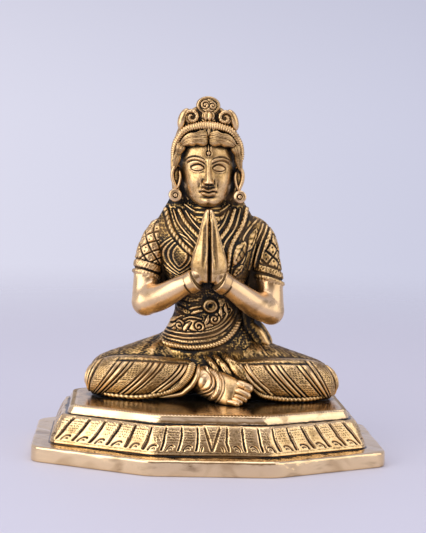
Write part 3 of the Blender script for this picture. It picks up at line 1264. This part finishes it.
def rough(points, size=0.7, tall=0.12):
    """Cloth left as cast and punched all over: random ground with pits in it."""
    x, y, z = np.moveaxis(points, -1, 0)
    ground = tall * grain(x + 0.7 * z, y - 0.4 * z, size, 7) + 0.05 * grain(x, y + z, 4, 8)
    return ground + pits(x + 0.4 * y, y + z, 1.0, 0.22)


def fold(route, half):
    """A loose fold: a limb that is narrower at both ends."""
    return limb(route, [[0, half * 0.7, 1.2], [0.5, half, 1.5], [1, half * 0.75, 1]], 30, 60, blunt=10)


print(f"folds: {len(ANKLE_FOLDS)} smooth and {len(LAP_FOLDS)} punched")


# %% [markdown]
# ## Thighs and seat
# Behind the shins the cloth lies over her thighs and fills the space between them. Little of it is seen, so
# it is made of plain limbs and balls that overlap, with the rough skin of the casting on them.

# %% Thighs and seat


def lap_folds(points):
    """The folds that fan out on top of the knees and where the cloth is drawn in at the middle."""
    x, y, z = np.moveaxis(points, -1, 0)
    fan = np.cos(TURN * (np.abs(x) * 0.55 + 0.45 * y) / 3.6) * bell(np.abs(x) - 21, 7) * rise(z, 32, 36)
    return 0.1 * fan


def legs():
    """Shin, thigh and hem of each leg, the seat between them, and the loose folds in front."""
    thigh = [(6, 16, 34), (17, 14.5, 31.8), (28, 12.5, 29.8), (39, 11.5, 28), (48.4, 11, 26.6)]
    radii = [[0, 13, 12], [0.3, 12, 12], [0.6, 10, 11], [0.85, 8, 10], [1, 6, 8.6]]
    skins = []
    for k, side in enumerate(SIDES):
        path = [(x, y, z - 0.8 * k) for x, y, z in mirrored(thigh, side * REACH[side])]
        upper = limb(path, radii, 130, 90, blunt=9)
        skins.append(shin(side))
        skins.append((raised(upper, rough(upper) + lap_folds(upper)), BARE["thigh"]))
        skins.append((limb(*HEMS[k], 24, 230, blunt=20, relief=rope), BARE["hem"]))
    for centre, half in (((0, 17, 33), (27, 12.6, 15)), ((0, 8, 32), (14, 10, 8))):
        seat = ball(centre, half, 120, 60)
        skins.append((raised(seat, rough(seat)), BARE["seat"]))
    for route, half in ANKLE_FOLDS:
        skins.append((fold(route, half), BARE["ankle fold"]))
    for route, half in LAP_FOLDS:
        drape = fold(route, half)
        skins.append((raised(drape, rough(drape, 0.6, 0.25)), BARE["lap fold"]))
    return skins


skirt_skins = legs()
print(f"legs: {len(skirt_skins)} skins")

# %% [markdown]
# ## The foot in front
# One bare foot lies in front of the crossed legs, its toes towards her left, with anklets over the instep.
# It could be one sculpted mesh, but its forms are plain enough: a flat limb for the sole, a ball for the
# ankle, and a short limb for every toe. Cast together they meet in the creases that a real foot has.

# %% The foot
FOOT = {
    "sole": [(-3.4, -2.6, 28.2), (1.0, -6.0, 27.2), (5.2, -9.4, 25.8), (8.6, -12.0, 24.6),
             (10.6, -13.2, 24.0)],
    "radii": [[0, 6.0, 5.2], [0.35, 6.2, 4.5], [0.7, 5.9, 3.1], [1, 5.4, 1.7]],
    "away": np.array([0.43, 0.74, -0.52]),  # from the instep through the sole
}
ANKLE = {
    "centre": (-1.2, -3.6, 27.9),
    "half": (5.8, 5.9, 6.0),
    "bone": [(-3.2, -7.6, 24.6), (-2.0, -8.5, 28.2), (-1.0, -7.0, 31.8)],
}
TOES = [  # root, tip and half-width, from the big toe down
    ((10.2, -11.0, 28.6), (16.8, -12.6, 25.8), 1.75),
    ((9.6, -12.6, 26.0), (15.8, -14.2, 23.4), 1.45),
    ((9.2, -13.6, 24.0), (14.4, -15.0, 22.0), 1.0),
    ((8.6, -14.2, 22.8), (12.6, -15.6, 21.0), 1.0),
    ((6.6, -14.2, 21.6), (11.4, -16.2, 20.4), 1.2),
]
ANKLETS = [  # route seen from the front, half-width, height, depth of the cut beside it, punched or not
    ([(-1.6, 34.2), (0.6, 32.2), (1.5, 28.8), (0.0, 25.6), (-4.4, 23.4)], 0.45, 0.6, 0.75, False),
    ([(1.2, 33.6), (3.1, 30.8), (3.6, 27.8), (2.6, 24.6), (0.2, 21.4)], 1.1, 0.5, 0.6, True),
    ([(4.0, 32.0), (5.1, 29.6), (5.1, 26.8), (4.3, 24.2), (2.8, 21.4), (2.2, 20.4)], 0.3, 0.3, 0.3, False),
]


def anklets(work):
    """Two thin rings and a punched band between them that hang over the instep."""
    for route, half, tall, cut, punched in ANKLETS:
        work.strand(route, half, tall, cut=cut)
        if punched:
            s, d = work.along(route)
            work.height = work.height + pits(s, d, 0.8, 0.3) * rise(half - np.abs(d), 0, 0.3)


def toe(root, tip, half):
    """A toe that narrows before its pad, and the nail on the side that faces against the sole."""
    root, tip = np.array(root), np.array(tip)
    middle = (root + tip) / 2 + (0, -0.3, 0.3)
    thick = [[0, half, 1.7], [0.55, half * 0.92, 1.6], [0.85, half * 1.04, 1.6], [1, half * 0.8, 1.3]]
    nail = tip * 0.86 + root * 0.14 - 1.35 * FOOT["away"]
    return [
        (limb([root, middle, tip], thick, 32, 44, FOOT["away"], 6), BARE["toe"]),
        (ball(nail, (0.8, 0.6, 0.7), 20, 12), BARE["nail"]),
    ]


def toe_ring(root, tip, half):
    """A hoop round a toe, and the small boss on top of it."""
    root, tip = np.array(root), np.array(tip)
    middle = root + 0.62 * (tip - root)
    return [
        (turned(middle, tip - root, hoop(half + 0.15, 0.9, 0.4), 32), BARE["toe"]),
        (ball(middle - 1.9 * FOOT["away"], (0.7, 0.5, 0.7), 16, 10), BARE["nail"]),
    ]


def foot():
    """Sole and instep, the ankle and its bone, anklets chased over both, five packed toes and a ring."""
    sole = chased(limb(FOOT["sole"], FOOT["radii"], 128, 100, FOOT["away"], 8), anklets)
    ankle = chased(ball(ANKLE["centre"], ANKLE["half"], 90, 60), anklets)
    bone = limb(ANKLE["bone"], [[0, 2.5, 1.7], [1, 2.4, 1.7]], 44, 44, blunt=2)
    sole_bare = BARE["sole"] - 0.22 * rise(sole[..., 0], 4.8, 6.0)
    skins = [(sole, sole_bare), (ankle, BARE["ankle"]), (bone, BARE["ankle bone"])]
    for each in TOES:
        skins += toe(*each)
    return skins + toe_ring(*TOES[0])


skirt_skins += foot()
print(f"skirt and foot: {len(skirt_skins)} skins")

# %% [markdown]
# ## Her casting in three bodies
# The real figure is one casting. One mesh of it would have over half a million triangles, and a piece here
# stays under 200,000. So she is joined as three bodies that overlap at the neck and the waist, where the
# collars and the sash hide the seam.

# %% Cast her
head = cast("figure_head", head_skins)
body = cast("figure_body", body_skins)
skirt = cast("figure_skirt", skirt_skins)

# %% [markdown]
# ## The plinth
# A foot slab, a sloping petal band and a top slab, poured as one. They could be three cut blocks with a
# bevel, but the casting has no joint. So one closed skin does for it all: a profile of [inset, height]
# carried round its eight-sided outline. The petal band is cut and punched like the cloth.

# %% Outline and profile
SLAB = {"front_half": 23.5, "side_half": 27.8, "height": 6, "arris": 1.0, "round": 3.6}
PETALS = {"ledge": 6.8, "height": 10.6, "batter": 6, "counts": (7, 6, 6, 6, 7, 6, 6, 6), "wide": 6.8}
TOP = {"inset": 13.4, "lean": 0.8, "arris": 0.9}
COLUMN = np.array([0.37, 0.37, 0.5, 0.75, 0.75, 0.75, 0.5, 0.37])  # from point to point on each face


def octagon(inset):
    """The outline's eight corners with every face moved inwards: two faces meet where both say how far the
    corner lies from the middle."""
    front, side = SLAB["front_half"], SLAB["side_half"]
    run, up = HALF_WIDTH - front, HALF_DEPTH - side
    length = np.hypot(run, up)
    nx, ny = up / length, run / length
    reach = nx * front + ny * HALF_DEPTH - inset
    w, d = HALF_WIDTH - inset, HALF_DEPTH - inset
    f, s = (reach - ny * d) / nx, (reach - nx * w) / ny
    return np.array([[-f, -d], [f, -d], [w, -s], [w, s], [f, d], [-f, d], [-w, s], [-w, -s]])


def profile():
    """[inset, height, bareness] from the underside's edge to the top's edge, close together where it is
    carved. Each arris is a quarter circle. The edges of both slabs are bare and the top is brown."""
    bend = np.linspace(0, np.pi / 2, 7)[1:]
    foot_z, arris = SLAB["height"], SLAB["arris"]
    slab, edge_bare = BARE["slab"], BARE["slab edge"]
    rows = [[0.6, 0, edge_bare], [0.18, 0.15, edge_bare], [0.05, 0.5, 0.95]]
    rows += [[0.35 * (z / foot_z - 0.45) ** 2, z, slab] for z in np.linspace(1.0, foot_z - arris, 8)]
    rows += [[0.05 + arris * (1 - np.cos(b)), foot_z - arris * (1 - np.sin(b)), slab] for b in bend]
    rows += [[inset, foot_z, slab] for inset in np.linspace(1.8, PETALS["ledge"] - 0.5, 6)]
    for share in np.linspace(0.01, 1, 46):
        back = 0.45 * share + 0.55 * (1 - np.sqrt(1 - (0.92 * share) ** 2))
        tucked = 0.5 * rise(0.06 - share, 0, 0.06)
        inset = PETALS["ledge"] + PETALS["batter"] * back + tucked
        rows.append([inset, foot_z + PETALS["height"] * share, BARE["petals"]])
    base = foot_z + PETALS["height"]
    rows.append([TOP["inset"] - 0.3, base + 0.1, BARE["ledge"]])
    side = SEAT - TOP["arris"] - base - 0.1
    rows += [[TOP["inset"] + TOP["lean"] * s - 0.25 * np.sin(np.pi * s), base + 0.1 + side * s, slab]
             for s in np.linspace(0.05, 1, 8)]
    edge, arris = TOP["inset"] + TOP["lean"], TOP["arris"]
    rows += [[edge + arris * (1 - np.cos(b)), SEAT - arris * (1 - np.sin(b)), edge_bare] for b in bend]
    rows += [[edge + 1.3, SEAT, 0.6], [edge + 2.0, SEAT, BARE["top"]]]
    return np.array(rows)


print(f"outline: corners at {octagon(0)[1].round(1)} and {octagon(0)[2].round(1)}")


# %% [markdown]
# ## The petal band
# Between the two slabs runs a band of petals whose grooves lean to the middle. One petal could be copied
# round, but those at the corners and in the middle of the front are unlike the rest. So the chasing is a
# height for every point, from how far along its face the point lies and how high.

# %% The petal band
def petal_height(face, along, points):
    """The band's chasing: grooves that lean to the middle as they rise, punched dots in the upper half, a
    hook low in every petal and a plain foot. In the middle of the front two grooves make a V."""
    x, y, z = np.moveaxis(points, -1, 0)
    share = (z - SLAB["height"]) / PETALS["height"]
    wide = PETALS["wide"]
    leaning = np.select([np.isin(face, (7, 0, 1)), face == 2, np.isin(face, (3, 4, 5))],
                        [x / 40, -y / 28, -x / 45], y / 28)
    count = np.array(PETALS["counts"])[face]
    flat = along * count + 0.5
    bowed = 0.1 * np.sin(np.pi * share) * np.sign(leaning)
    place = flat + 0.8 * np.clip(leaning, -1, 1) * (share - 0.5) + bowed
    place = place + 0.05 * grain(flat * 2.5, share * 3, 1, 21)
    within = np.mod(place, 1)
    seam = np.minimum(within, 1 - within) * wide
    front = (face == 0) * (np.abs(x) < wide / 2)
    seam = np.where(front, np.abs(np.abs(x) - 2.9 * np.clip(share - 0.17, 0, 1) / 0.83), seam)
    punched = rise(share + 0.08 * grain(flat * 3, share * 2, 1, 22), 0.4, 0.5) * rise(0.95 - share, 0, 0.05)
    dots = pits(flat * wide, share * 11, 0.9, 0.26) * punched
    dots = dots * rise(grain(flat * 1.7, face * 3.3, 1, 23), -0.6, 0)
    side = np.where(x < 0, within, 1 - within)
    ring = np.hypot((side - 0.52) * wide, (share - 0.22) * 10)
    hook = -0.5 * bell(ring - 1.5, 0.28) * rise(share + 0.5 * (0.6 - side), 0.24, 0.34) * ~front
    second = -0.35 * bell(ring - 0.6, 0.25) * rise(share, 0.2, 0.26) * ~front
    groove = -0.85 * bell(seam, 0.36 + 0.1 * np.sin(np.pi * share)) * rise(share, 0.14, 0.24)
    carved = dots + (hook + second) * rise(seam, 0.4, 0.8) + groove
    return carved * rise(share, 0.14, 0.2) * rise(0.99 - share, 0, 0.03) - 0.15 * bell(share - 0.13, 0.02)


print(f"petal band: {sum(PETALS['counts'])} petals, {PETALS['wide']} mm wide")


# %% The skin of the plinth
def rounded(xy, reach):
    """Rings of points with their corners rounded: each is moved to the mean of those within reach of it."""
    return sum(np.roll(xy, k, 1) for k in range(-reach, reach + 1)) / (2 * reach + 1)


def plinth_skin():
    """Rings of points up the profile, a column to every third or half a millimetre, and their bareness."""
    corners = octagon(0)
    lengths = np.linalg.norm(np.roll(corners, -1, 0) - corners, axis=1)
    counts = np.round(lengths / COLUMN).astype(int)
    face = np.repeat(np.arange(8), counts)
    along = np.concatenate([np.arange(count) / count for count in counts])
    rows = profile()
    rings = np.stack([octagon(inset) for inset in rows[:, 0]])
    a, b = rings[:, face], rings[:, (face + 1) % 8]
    xy = rounded(a + (b - a) * along[None, :, None], round(SLAB["round"] / COLUMN[0]))
    z = np.broadcast_to(rows[:, 1, None], xy.shape[:2])
    points = np.concatenate([xy, z[..., None]], -1)
    band = (z > SLAB["height"]) & (z < SLAB["height"] + PETALS["height"])
    carved = np.where(band, petal_height(face[None], along[None], points), 0)
    tick = bell(np.mod(along * lengths[face] / 1.5, 1) - 0.5, 0.28)[None]
    notched = bell(z - SEAT + 0.1, 0.45) * bell(rows[:, :1] - TOP["inset"] - TOP["lean"] - 0.9, 0.6)
    notches = -0.6 * tick * notched
    x, y = xy[..., 0], xy[..., 1]
    low = z < SLAB["height"] - 0.3
    dents = -0.12 * rise(grain((x + y) * 0.45, z * 1.3, 3.0, 11), 0.55, 0.95) * low
    filed = 0.2 * grain(x + y, z * 0.6, 9, 12) + 0.08 * grain(x + y, z * 1.5, 3, 13)
    level = rise(z, 0, 0.4) * rise(SEAT - z, 0, 0.3)
    points = raised(points, carved + notches + (dents + filed * ~band) * level)
    flat = lambda ring, share, height: np.column_stack([ring[:, :2] * share, np.full(len(ring), height)])
    inner = [flat(points[-1], share, SEAT) for share in (0.98, 0.85, 0.6, 0.3, 0.08)]
    outer = [flat(points[0], share, 0.0) for share in (0.1, 0.6, 0.98)]
    below, above = np.full(len(outer), BARE["slab edge"]), np.full(len(inner), BARE["top"])
    bare = np.concatenate([below, rows[:, 2], above])
    return np.concatenate([np.stack(outer), points, np.stack(inner)]), bare[:, None]


plinth_points, plinth_bare = plinth_skin()
plinth = mesh_object("plinth_cast", *closed(plinth_points), painted(plinth_points, plinth_bare))
print(f"plinth_cast: {len(plinth.data.polygons)} triangles")

# %% [markdown]
# ## What the polishing cloth reached
# Antique brass is darkened all over and then rubbed back. What stands proud and lies open comes up bright,
# and the hollows keep their dark skin. Shader nodes for pointiness and occlusion could find those places,
# but they read the mesh as it is rendered and are lost in an export. So two measures are stored with every
# vertex: how far it stands above the surface averaged round it, and how much of the sky it can see.

# %% Measure height and openness
def relief_of(vertices, triangles, normals):
    """How far each vertex stands above the mesh smoothed by averaging with its neighbours, in mm."""
    return ((vertices - smoothed(vertices, triangles, 14)) * normals).sum(1)


def openness(vertices, normals, cell=0.8, slack=1.2):
    """The share of the sky that each vertex sees: from each of many directions the nearest vertex in every
    square cell is found, and all those within slack of it are lit, weighted by how squarely they face it."""
    golden = np.pi * (3 - 5**0.5)
    count, half_net = 64, 300  # directions, and cells from the middle of the net to its edge
    k = np.arange(count)
    up = 1 - 1.45 * (k + 0.5) / count
    flat = np.sqrt(1 - up**2)
    seen, most = np.zeros(len(vertices)), np.full(len(vertices), 1e-6)
    for direction in np.stack([flat * np.cos(golden * k), flat * np.sin(golden * k), up], 1):
        e1, e2 = square_pair(direction, [0.3, 0.9, 0.2])
        i = np.round(vertices @ e1 / cell).astype(int) + half_net
        j = np.round(vertices @ e2 / cell).astype(int) + half_net
        depth = vertices @ direction
        front = np.full((2 * half_net, 2 * half_net), -1e9)
        np.maximum.at(front, (i, j), depth)
        facing = np.maximum(normals @ direction, 0)
        seen += facing * (depth > front[i, j] - slack)
        most += facing
    return seen / most * np.clip(most / (0.2 * count), 0, 1)


pieces = {head: "figure", body: "figure", skirt: "figure", plinth: "plinth"}
measured = [arrays_of(piece) for piece in pieces]
sky = openness(np.vstack([m[0] for m in measured]), np.vstack([m[2] for m in measured]))
done = 0
for piece, (vertices, triangles, normals) in zip(pieces, measured):
    relief = relief_of(vertices, triangles, normals)
    write(piece, "relief", relief)
    write(piece, "sky", sky[done : done + len(vertices)])
    done += len(vertices)
    print(f"{piece.name}: relief {np.percentile(relief, 5):.2f} to {np.percentile(relief, 95):.2f} mm")

# %% [markdown]
# ## Antique brass
# Brass is about two thirds copper and one third zinc: a warm yellow metal whose reflections are tinted by
# it. Cast, darkened with a patina and rubbed back, it runs from a nearly black-brown skin in the hollows,
# through a dull bronze, to pale polished metal on the high places and the bare skin. A photograph could be
# projected on it, but its highlights would stay where its lamps were. So the colour comes from the two
# measures, and the lamps of this scene make the highlights.

# %% One node at a time
SMOOTH = {"interpolation_type": "SMOOTHSTEP"}
COLOURS = {"data_type": "RGBA"}
TIMES = {"operation": "MULTIPLY"}
TIMES_PLUS = {"operation": "MULTIPLY_ADD"}


def srgb(code):
    """A hex colour as the linear values that shaders take."""
    values = [int(code[i : i + 2], 16) / 255 for i in (1, 3, 5)]
    return [v / 12.92 if v <= 0.04045 else ((v + 0.055) / 1.055) ** 2.4 for v in values] + [1.0]


def add(tree, kind, settings=None, **sockets):
    """Adds a node, sets its properties, then sets or links its sockets. Base_Color stands for "Base Color",
    and n0 for the first socket."""
    made = tree.nodes.new("ShaderNode" + kind)
    for name, value in (settings or {}).items():
        setattr(made, name, value)
    for name, value in sockets.items():
        socket = made.inputs[int(name[1:]) if name[1:].isdigit() else name.replace("_", " ")]
        if isinstance(value, bpy.types.NodeSocket):
            tree.links.new(value, socket)
        else:
            socket.default_value = value
    return made


def per_mm(size):
    """The scale that makes a pattern repeat about every size millimetres on coordinates in metres."""
    return 1 / (size * MM)


def fresh_tree(owner):
    """An owner's node tree, switched on and emptied."""
    owner.use_nodes = True
    owner.node_tree.nodes.clear()
    return owner.node_tree


print("the brass of the high places:", [round(value, 2) for value in srgb("#eac48a")])


# %% Where the metal is clean
def cleaned(tree, place, bare, speck):
    """How clean the metal is: how proud a place stands times how open it lies. The barer it is, the sooner
    either counts. Both edges are broken by the grain of the cast skin and by blotches 6 mm across."""
    relief = add(tree, "Attribute", {"attribute_name": "relief"}).outputs["Fac"]
    sky = add(tree, "Attribute", {"attribute_name": "sky"}).outputs["Fac"]
    blotch = add(tree, "TexNoise", Vector=place, Scale=per_mm(6), Detail=3.0).outputs["Fac"]
    uneven = add(tree, "Math", TIMES_PLUS, n0=speck, n1=0.3, n2=relief).outputs[0]
    lifted = add(tree, "Math", TIMES_PLUS, n0=blotch, n1=0.16, n2=uneven).outputs[0]
    low = add(tree, "MapRange", Value=bare, n3=0.26, n4=-0.16).outputs[0]
    high = add(tree, "MapRange", Value=bare, n3=0.58, n4=0.16).outputs[0]
    proud = add(tree, "MapRange", SMOOTH, Value=lifted, n1=low, n2=high).outputs[0]
    shut = add(tree, "MapRange", Value=bare, n3=0.12, n4=0.0).outputs[0]
    wide = add(tree, "MapRange", Value=bare, n3=0.75, n4=0.3).outputs[0]
    lit = add(tree, "MapRange", SMOOTH, Value=sky, n1=shut, n2=wide).outputs[0]
    return add(tree, "Math", TIMES, n0=proud, n1=lit).outputs[0]


# %% The colour of the metal
PATINA = ((0.0, "#0d0906"), (0.15, "#2c2115"), (0.4, "#866c3b"), (0.7, "#c8a05e"), (1.0, "#eac48a"))
STAIN, STREAK = "#9a7442", "#6a4c2a"


def coloured(tree, place, bare, clean, pale_tint):
    """The patina's colours by how clean the metal is, paler where it is bare, with soft stains 13 mm across
    and darker streaks 12 mm apart that are drawn out level, as a cloth wipes them."""
    ramp = add(tree, "ValToRGB", Fac=clean)
    while len(ramp.color_ramp.elements) < len(PATINA):
        ramp.color_ramp.elements.new(0.5)
    for element, (position, colour) in zip(ramp.color_ramp.elements, PATINA):
        element.position, element.color = position, srgb(colour)
    pale = add(tree, "Math", TIMES, n0=clean, n1=bare).outputs[0]
    tint = add(tree, "Mix", COLOURS, n0=pale, n6=ramp.outputs["Color"], n7=srgb(pale_tint)).outputs[2]
    cloud = add(tree, "TexNoise", Vector=place, Scale=per_mm(13), Detail=2.0, Distortion=0.6).outputs["Fac"]
    stain = add(tree, "MapRange", SMOOTH, Value=cloud, n1=0.46, n2=0.72, n3=0.0, n4=0.42).outputs[0]
    dull = add(tree, "Mix", COLOURS, n0=stain, n6=tint, n7=srgb(STAIN)).outputs[2]
    drawn = add(tree, "VectorMath", TIMES, n0=place, n1=(1.0, 1.0, 2.6)).outputs[0]
    smear = add(tree, "TexNoise", Vector=drawn, Scale=per_mm(12), Detail=4.0, Distortion=0.4).outputs["Fac"]
    streak = add(tree, "MapRange", SMOOTH, Value=smear, n1=0.54, n2=0.72, n3=0.0, n4=0.5).outputs[0]
    return add(tree, "Mix", COLOURS, n0=streak, n6=dull, n7=srgb(STREAK)).outputs[2]


# %% The brass of both castings
def antique_brass(name, dark_gloss, bright_gloss, pale_tint):
    """Cast brass, darkened and rubbed back. The eye gets a dull brown in the hollows and soft yellow
    reflections on the high places, clearer where it was polished. The two glosses are the roughness of the
    dark skin and of the polished metal. The grain of 0.8 mm and the pores of 0.5 mm are drawn coarser than
    they are, so that they show."""
    material = bpy.data.materials.new(name)
    tree = fresh_tree(material)
    place = add(tree, "TexCoord").outputs["Object"]
    bare = add(tree, "Attribute", {"attribute_name": "bare"}).outputs["Fac"]
    speck = add(tree, "TexNoise", Vector=place, Scale=per_mm(0.8), Detail=4.0).outputs["Fac"]
    clean = cleaned(tree, place, bare, speck)
    colour = coloured(tree, place, bare, clean, pale_tint)
    metal = add(tree, "MapRange", Value=clean, n1=0.0, n2=0.3, n3=0.5, n4=1.0).outputs[0]
    gloss = add(tree, "MapRange", Value=clean, n3=dark_gloss, n4=bright_gloss).outputs[0]
    hazy = add(tree, "Math", TIMES_PLUS, n0=speck, n1=0.1, n2=gloss).outputs[0]
    pores = add(tree, "TexNoise", Vector=place, Scale=per_mm(0.5), Detail=3.0).outputs["Fac"]
    rough_cast = add(tree, "MapRange", Value=bare, n3=1.0, n4=0.35).outputs[0]
    bump = add(tree, "Bump", Height=pores, Distance=0.06 * MM, Strength=rough_cast).outputs["Normal"]
    surface = add(tree, "BsdfPrincipled", Base_Color=colour, Metallic=metal, Roughness=hazy, Normal=bump)
    add(tree, "OutputMaterial", Surface=surface.outputs["BSDF"])
    return material


castings = antique_brass("antique_brass_rubbed_back", 0.44, 0.24, "#f0cda0")
polished = antique_brass("antique_brass_polished_plinth", 0.16, 0.1, "#f4d6aa")
for piece, node in pieces.items():
    piece.data.materials.clear()
    piece.data.materials.append(polished if piece is plinth else castings)
    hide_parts(node)
    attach(piece, "root")
    piece.data.shade_smooth()
    print(f"{piece.name}: {piece.data.materials[0].name}")

# %% [markdown]
# ## Floor and light
# A metal shows its surroundings and little else, so the studio is built from what it has to reflect. A
# ready-made panorama would bring a room of its own. This one is a few colours by direction: a pale lavender
# room, darker behind the camera, with a wide soft light on each side and one overhead.

# %% The room
ROOM = {"left": "#e2e1f1", "right": "#cecfe3", "front": "#80705f", "above": "#cdcbdc", "high": "#ececee"}


def studio_world():
    """Paler at the back than at the front, where it also grows paler with height."""
    world = bpy.data.worlds.new("room")
    bpy.context.scene.world = world
    tree = fresh_tree(world)
    toward = add(tree, "TexCoord").outputs["Generated"]
    parts = add(tree, "SeparateXYZ", Vector=toward)
    across = add(tree, "MapRange", Value=parts.outputs["X"], n1=-0.2, n2=0.2).outputs[0]
    back = add(tree, "Mix", COLOURS, n0=across, n6=srgb(ROOM["left"]), n7=srgb(ROOM["right"])).outputs[2]
    up = add(tree, "MapRange", SMOOTH, Value=parts.outputs["Z"], n1=0.0, n2=0.2).outputs[0]
    shade = {"data_type": "RGBA", "blend_type": "MULTIPLY"}
    back = add(tree, "Mix", shade, n0=up, n6=back, n7=srgb(ROOM["high"])).outputs[2]
    tall = add(tree, "MapRange", SMOOTH, Value=parts.outputs["Z"], n1=0.25, n2=0.8).outputs[0]
    front = add(tree, "Mix", COLOURS, n0=tall, n6=srgb(ROOM["front"]), n7=srgb(ROOM["above"])).outputs[2]
    depth = add(tree, "MapRange", SMOOTH, Value=parts.outputs["Y"], n1=-0.3, n2=0.4).outputs[0]
    whole = add(tree, "Mix", COLOURS, n0=depth, n6=front, n7=back).outputs[2]
    light = add(tree, "Background", Color=whole, Strength=1.0)
    add(tree, "OutputWorld", Surface=light.outputs[0])


studio_world()
print(f"room: {len(ROOM)} colours")


# %% Lights and floor
def soft_light(name, place, aim, size, watts):
    """A square area light at place, in metres, turned towards aim."""
    lamp = bpy.data.lights.new(name, "AREA")
    lamp.size, lamp.energy = size, watts
    holder = bpy.data.objects.new(name, lamp)
    holder.location = place
    direction = Matrix.Translation(aim).translation - holder.location
    holder.rotation_euler = direction.to_track_quat("-Z", "Y").to_euler()
    bpy.context.scene.collection.objects.link(holder)


def floor(radius=1.2, across=64):
    """A round pale floor that fades into the room with the distance from its middle, so no horizon shows."""
    u = angles(across)[0]
    ring = np.stack([np.cos(u), np.sin(u), 0 * u], 1) * radius
    mesh = bpy.data.meshes.new("floor")
    mesh.from_pydata(ring.tolist(), [], [list(range(across))])
    made = bpy.data.objects.new("floor", mesh)
    bpy.context.scene.collection.objects.link(made)
    material = bpy.data.materials.new("pale_floor")
    tree = fresh_tree(material)
    place = add(tree, "TexCoord").outputs["Object"]
    far = add(tree, "VectorMath", {"operation": "LENGTH"}, n0=place).outputs["Value"]
    fade = add(tree, "MapRange", SMOOTH, Value=far, n1=0.15, n2=0.9).outputs[0]
    paint = add(tree, "BsdfPrincipled", Base_Color=srgb("#d0ceda"), Roughness=0.6)
    clear = add(tree, "BsdfTransparent")
    both = add(tree, "MixShader", n0=fade, n1=paint.outputs["BSDF"], n2=clear.outputs[0])
    add(tree, "OutputMaterial", Surface=both.outputs[0])
    mesh.materials.append(material)


soft_light("left_softbox", (-0.85, -0.6, 0.32), (0, 0, 0.07), 1.2, 10.2)
soft_light("right_softbox", (0.9, -0.45, 0.35), (0, 0, 0.07), 1.0, 3.8)
soft_light("overhead", (0.0, -0.1, 1.1), (0, 0, 0.05), 0.9, 3.5)
floor()
print("lights:", ", ".join(f"{lamp.name} {lamp.energy:.1f} W" for lamp in bpy.data.lights))
bpy.context.scene.view_settings.view_transform = "Standard"
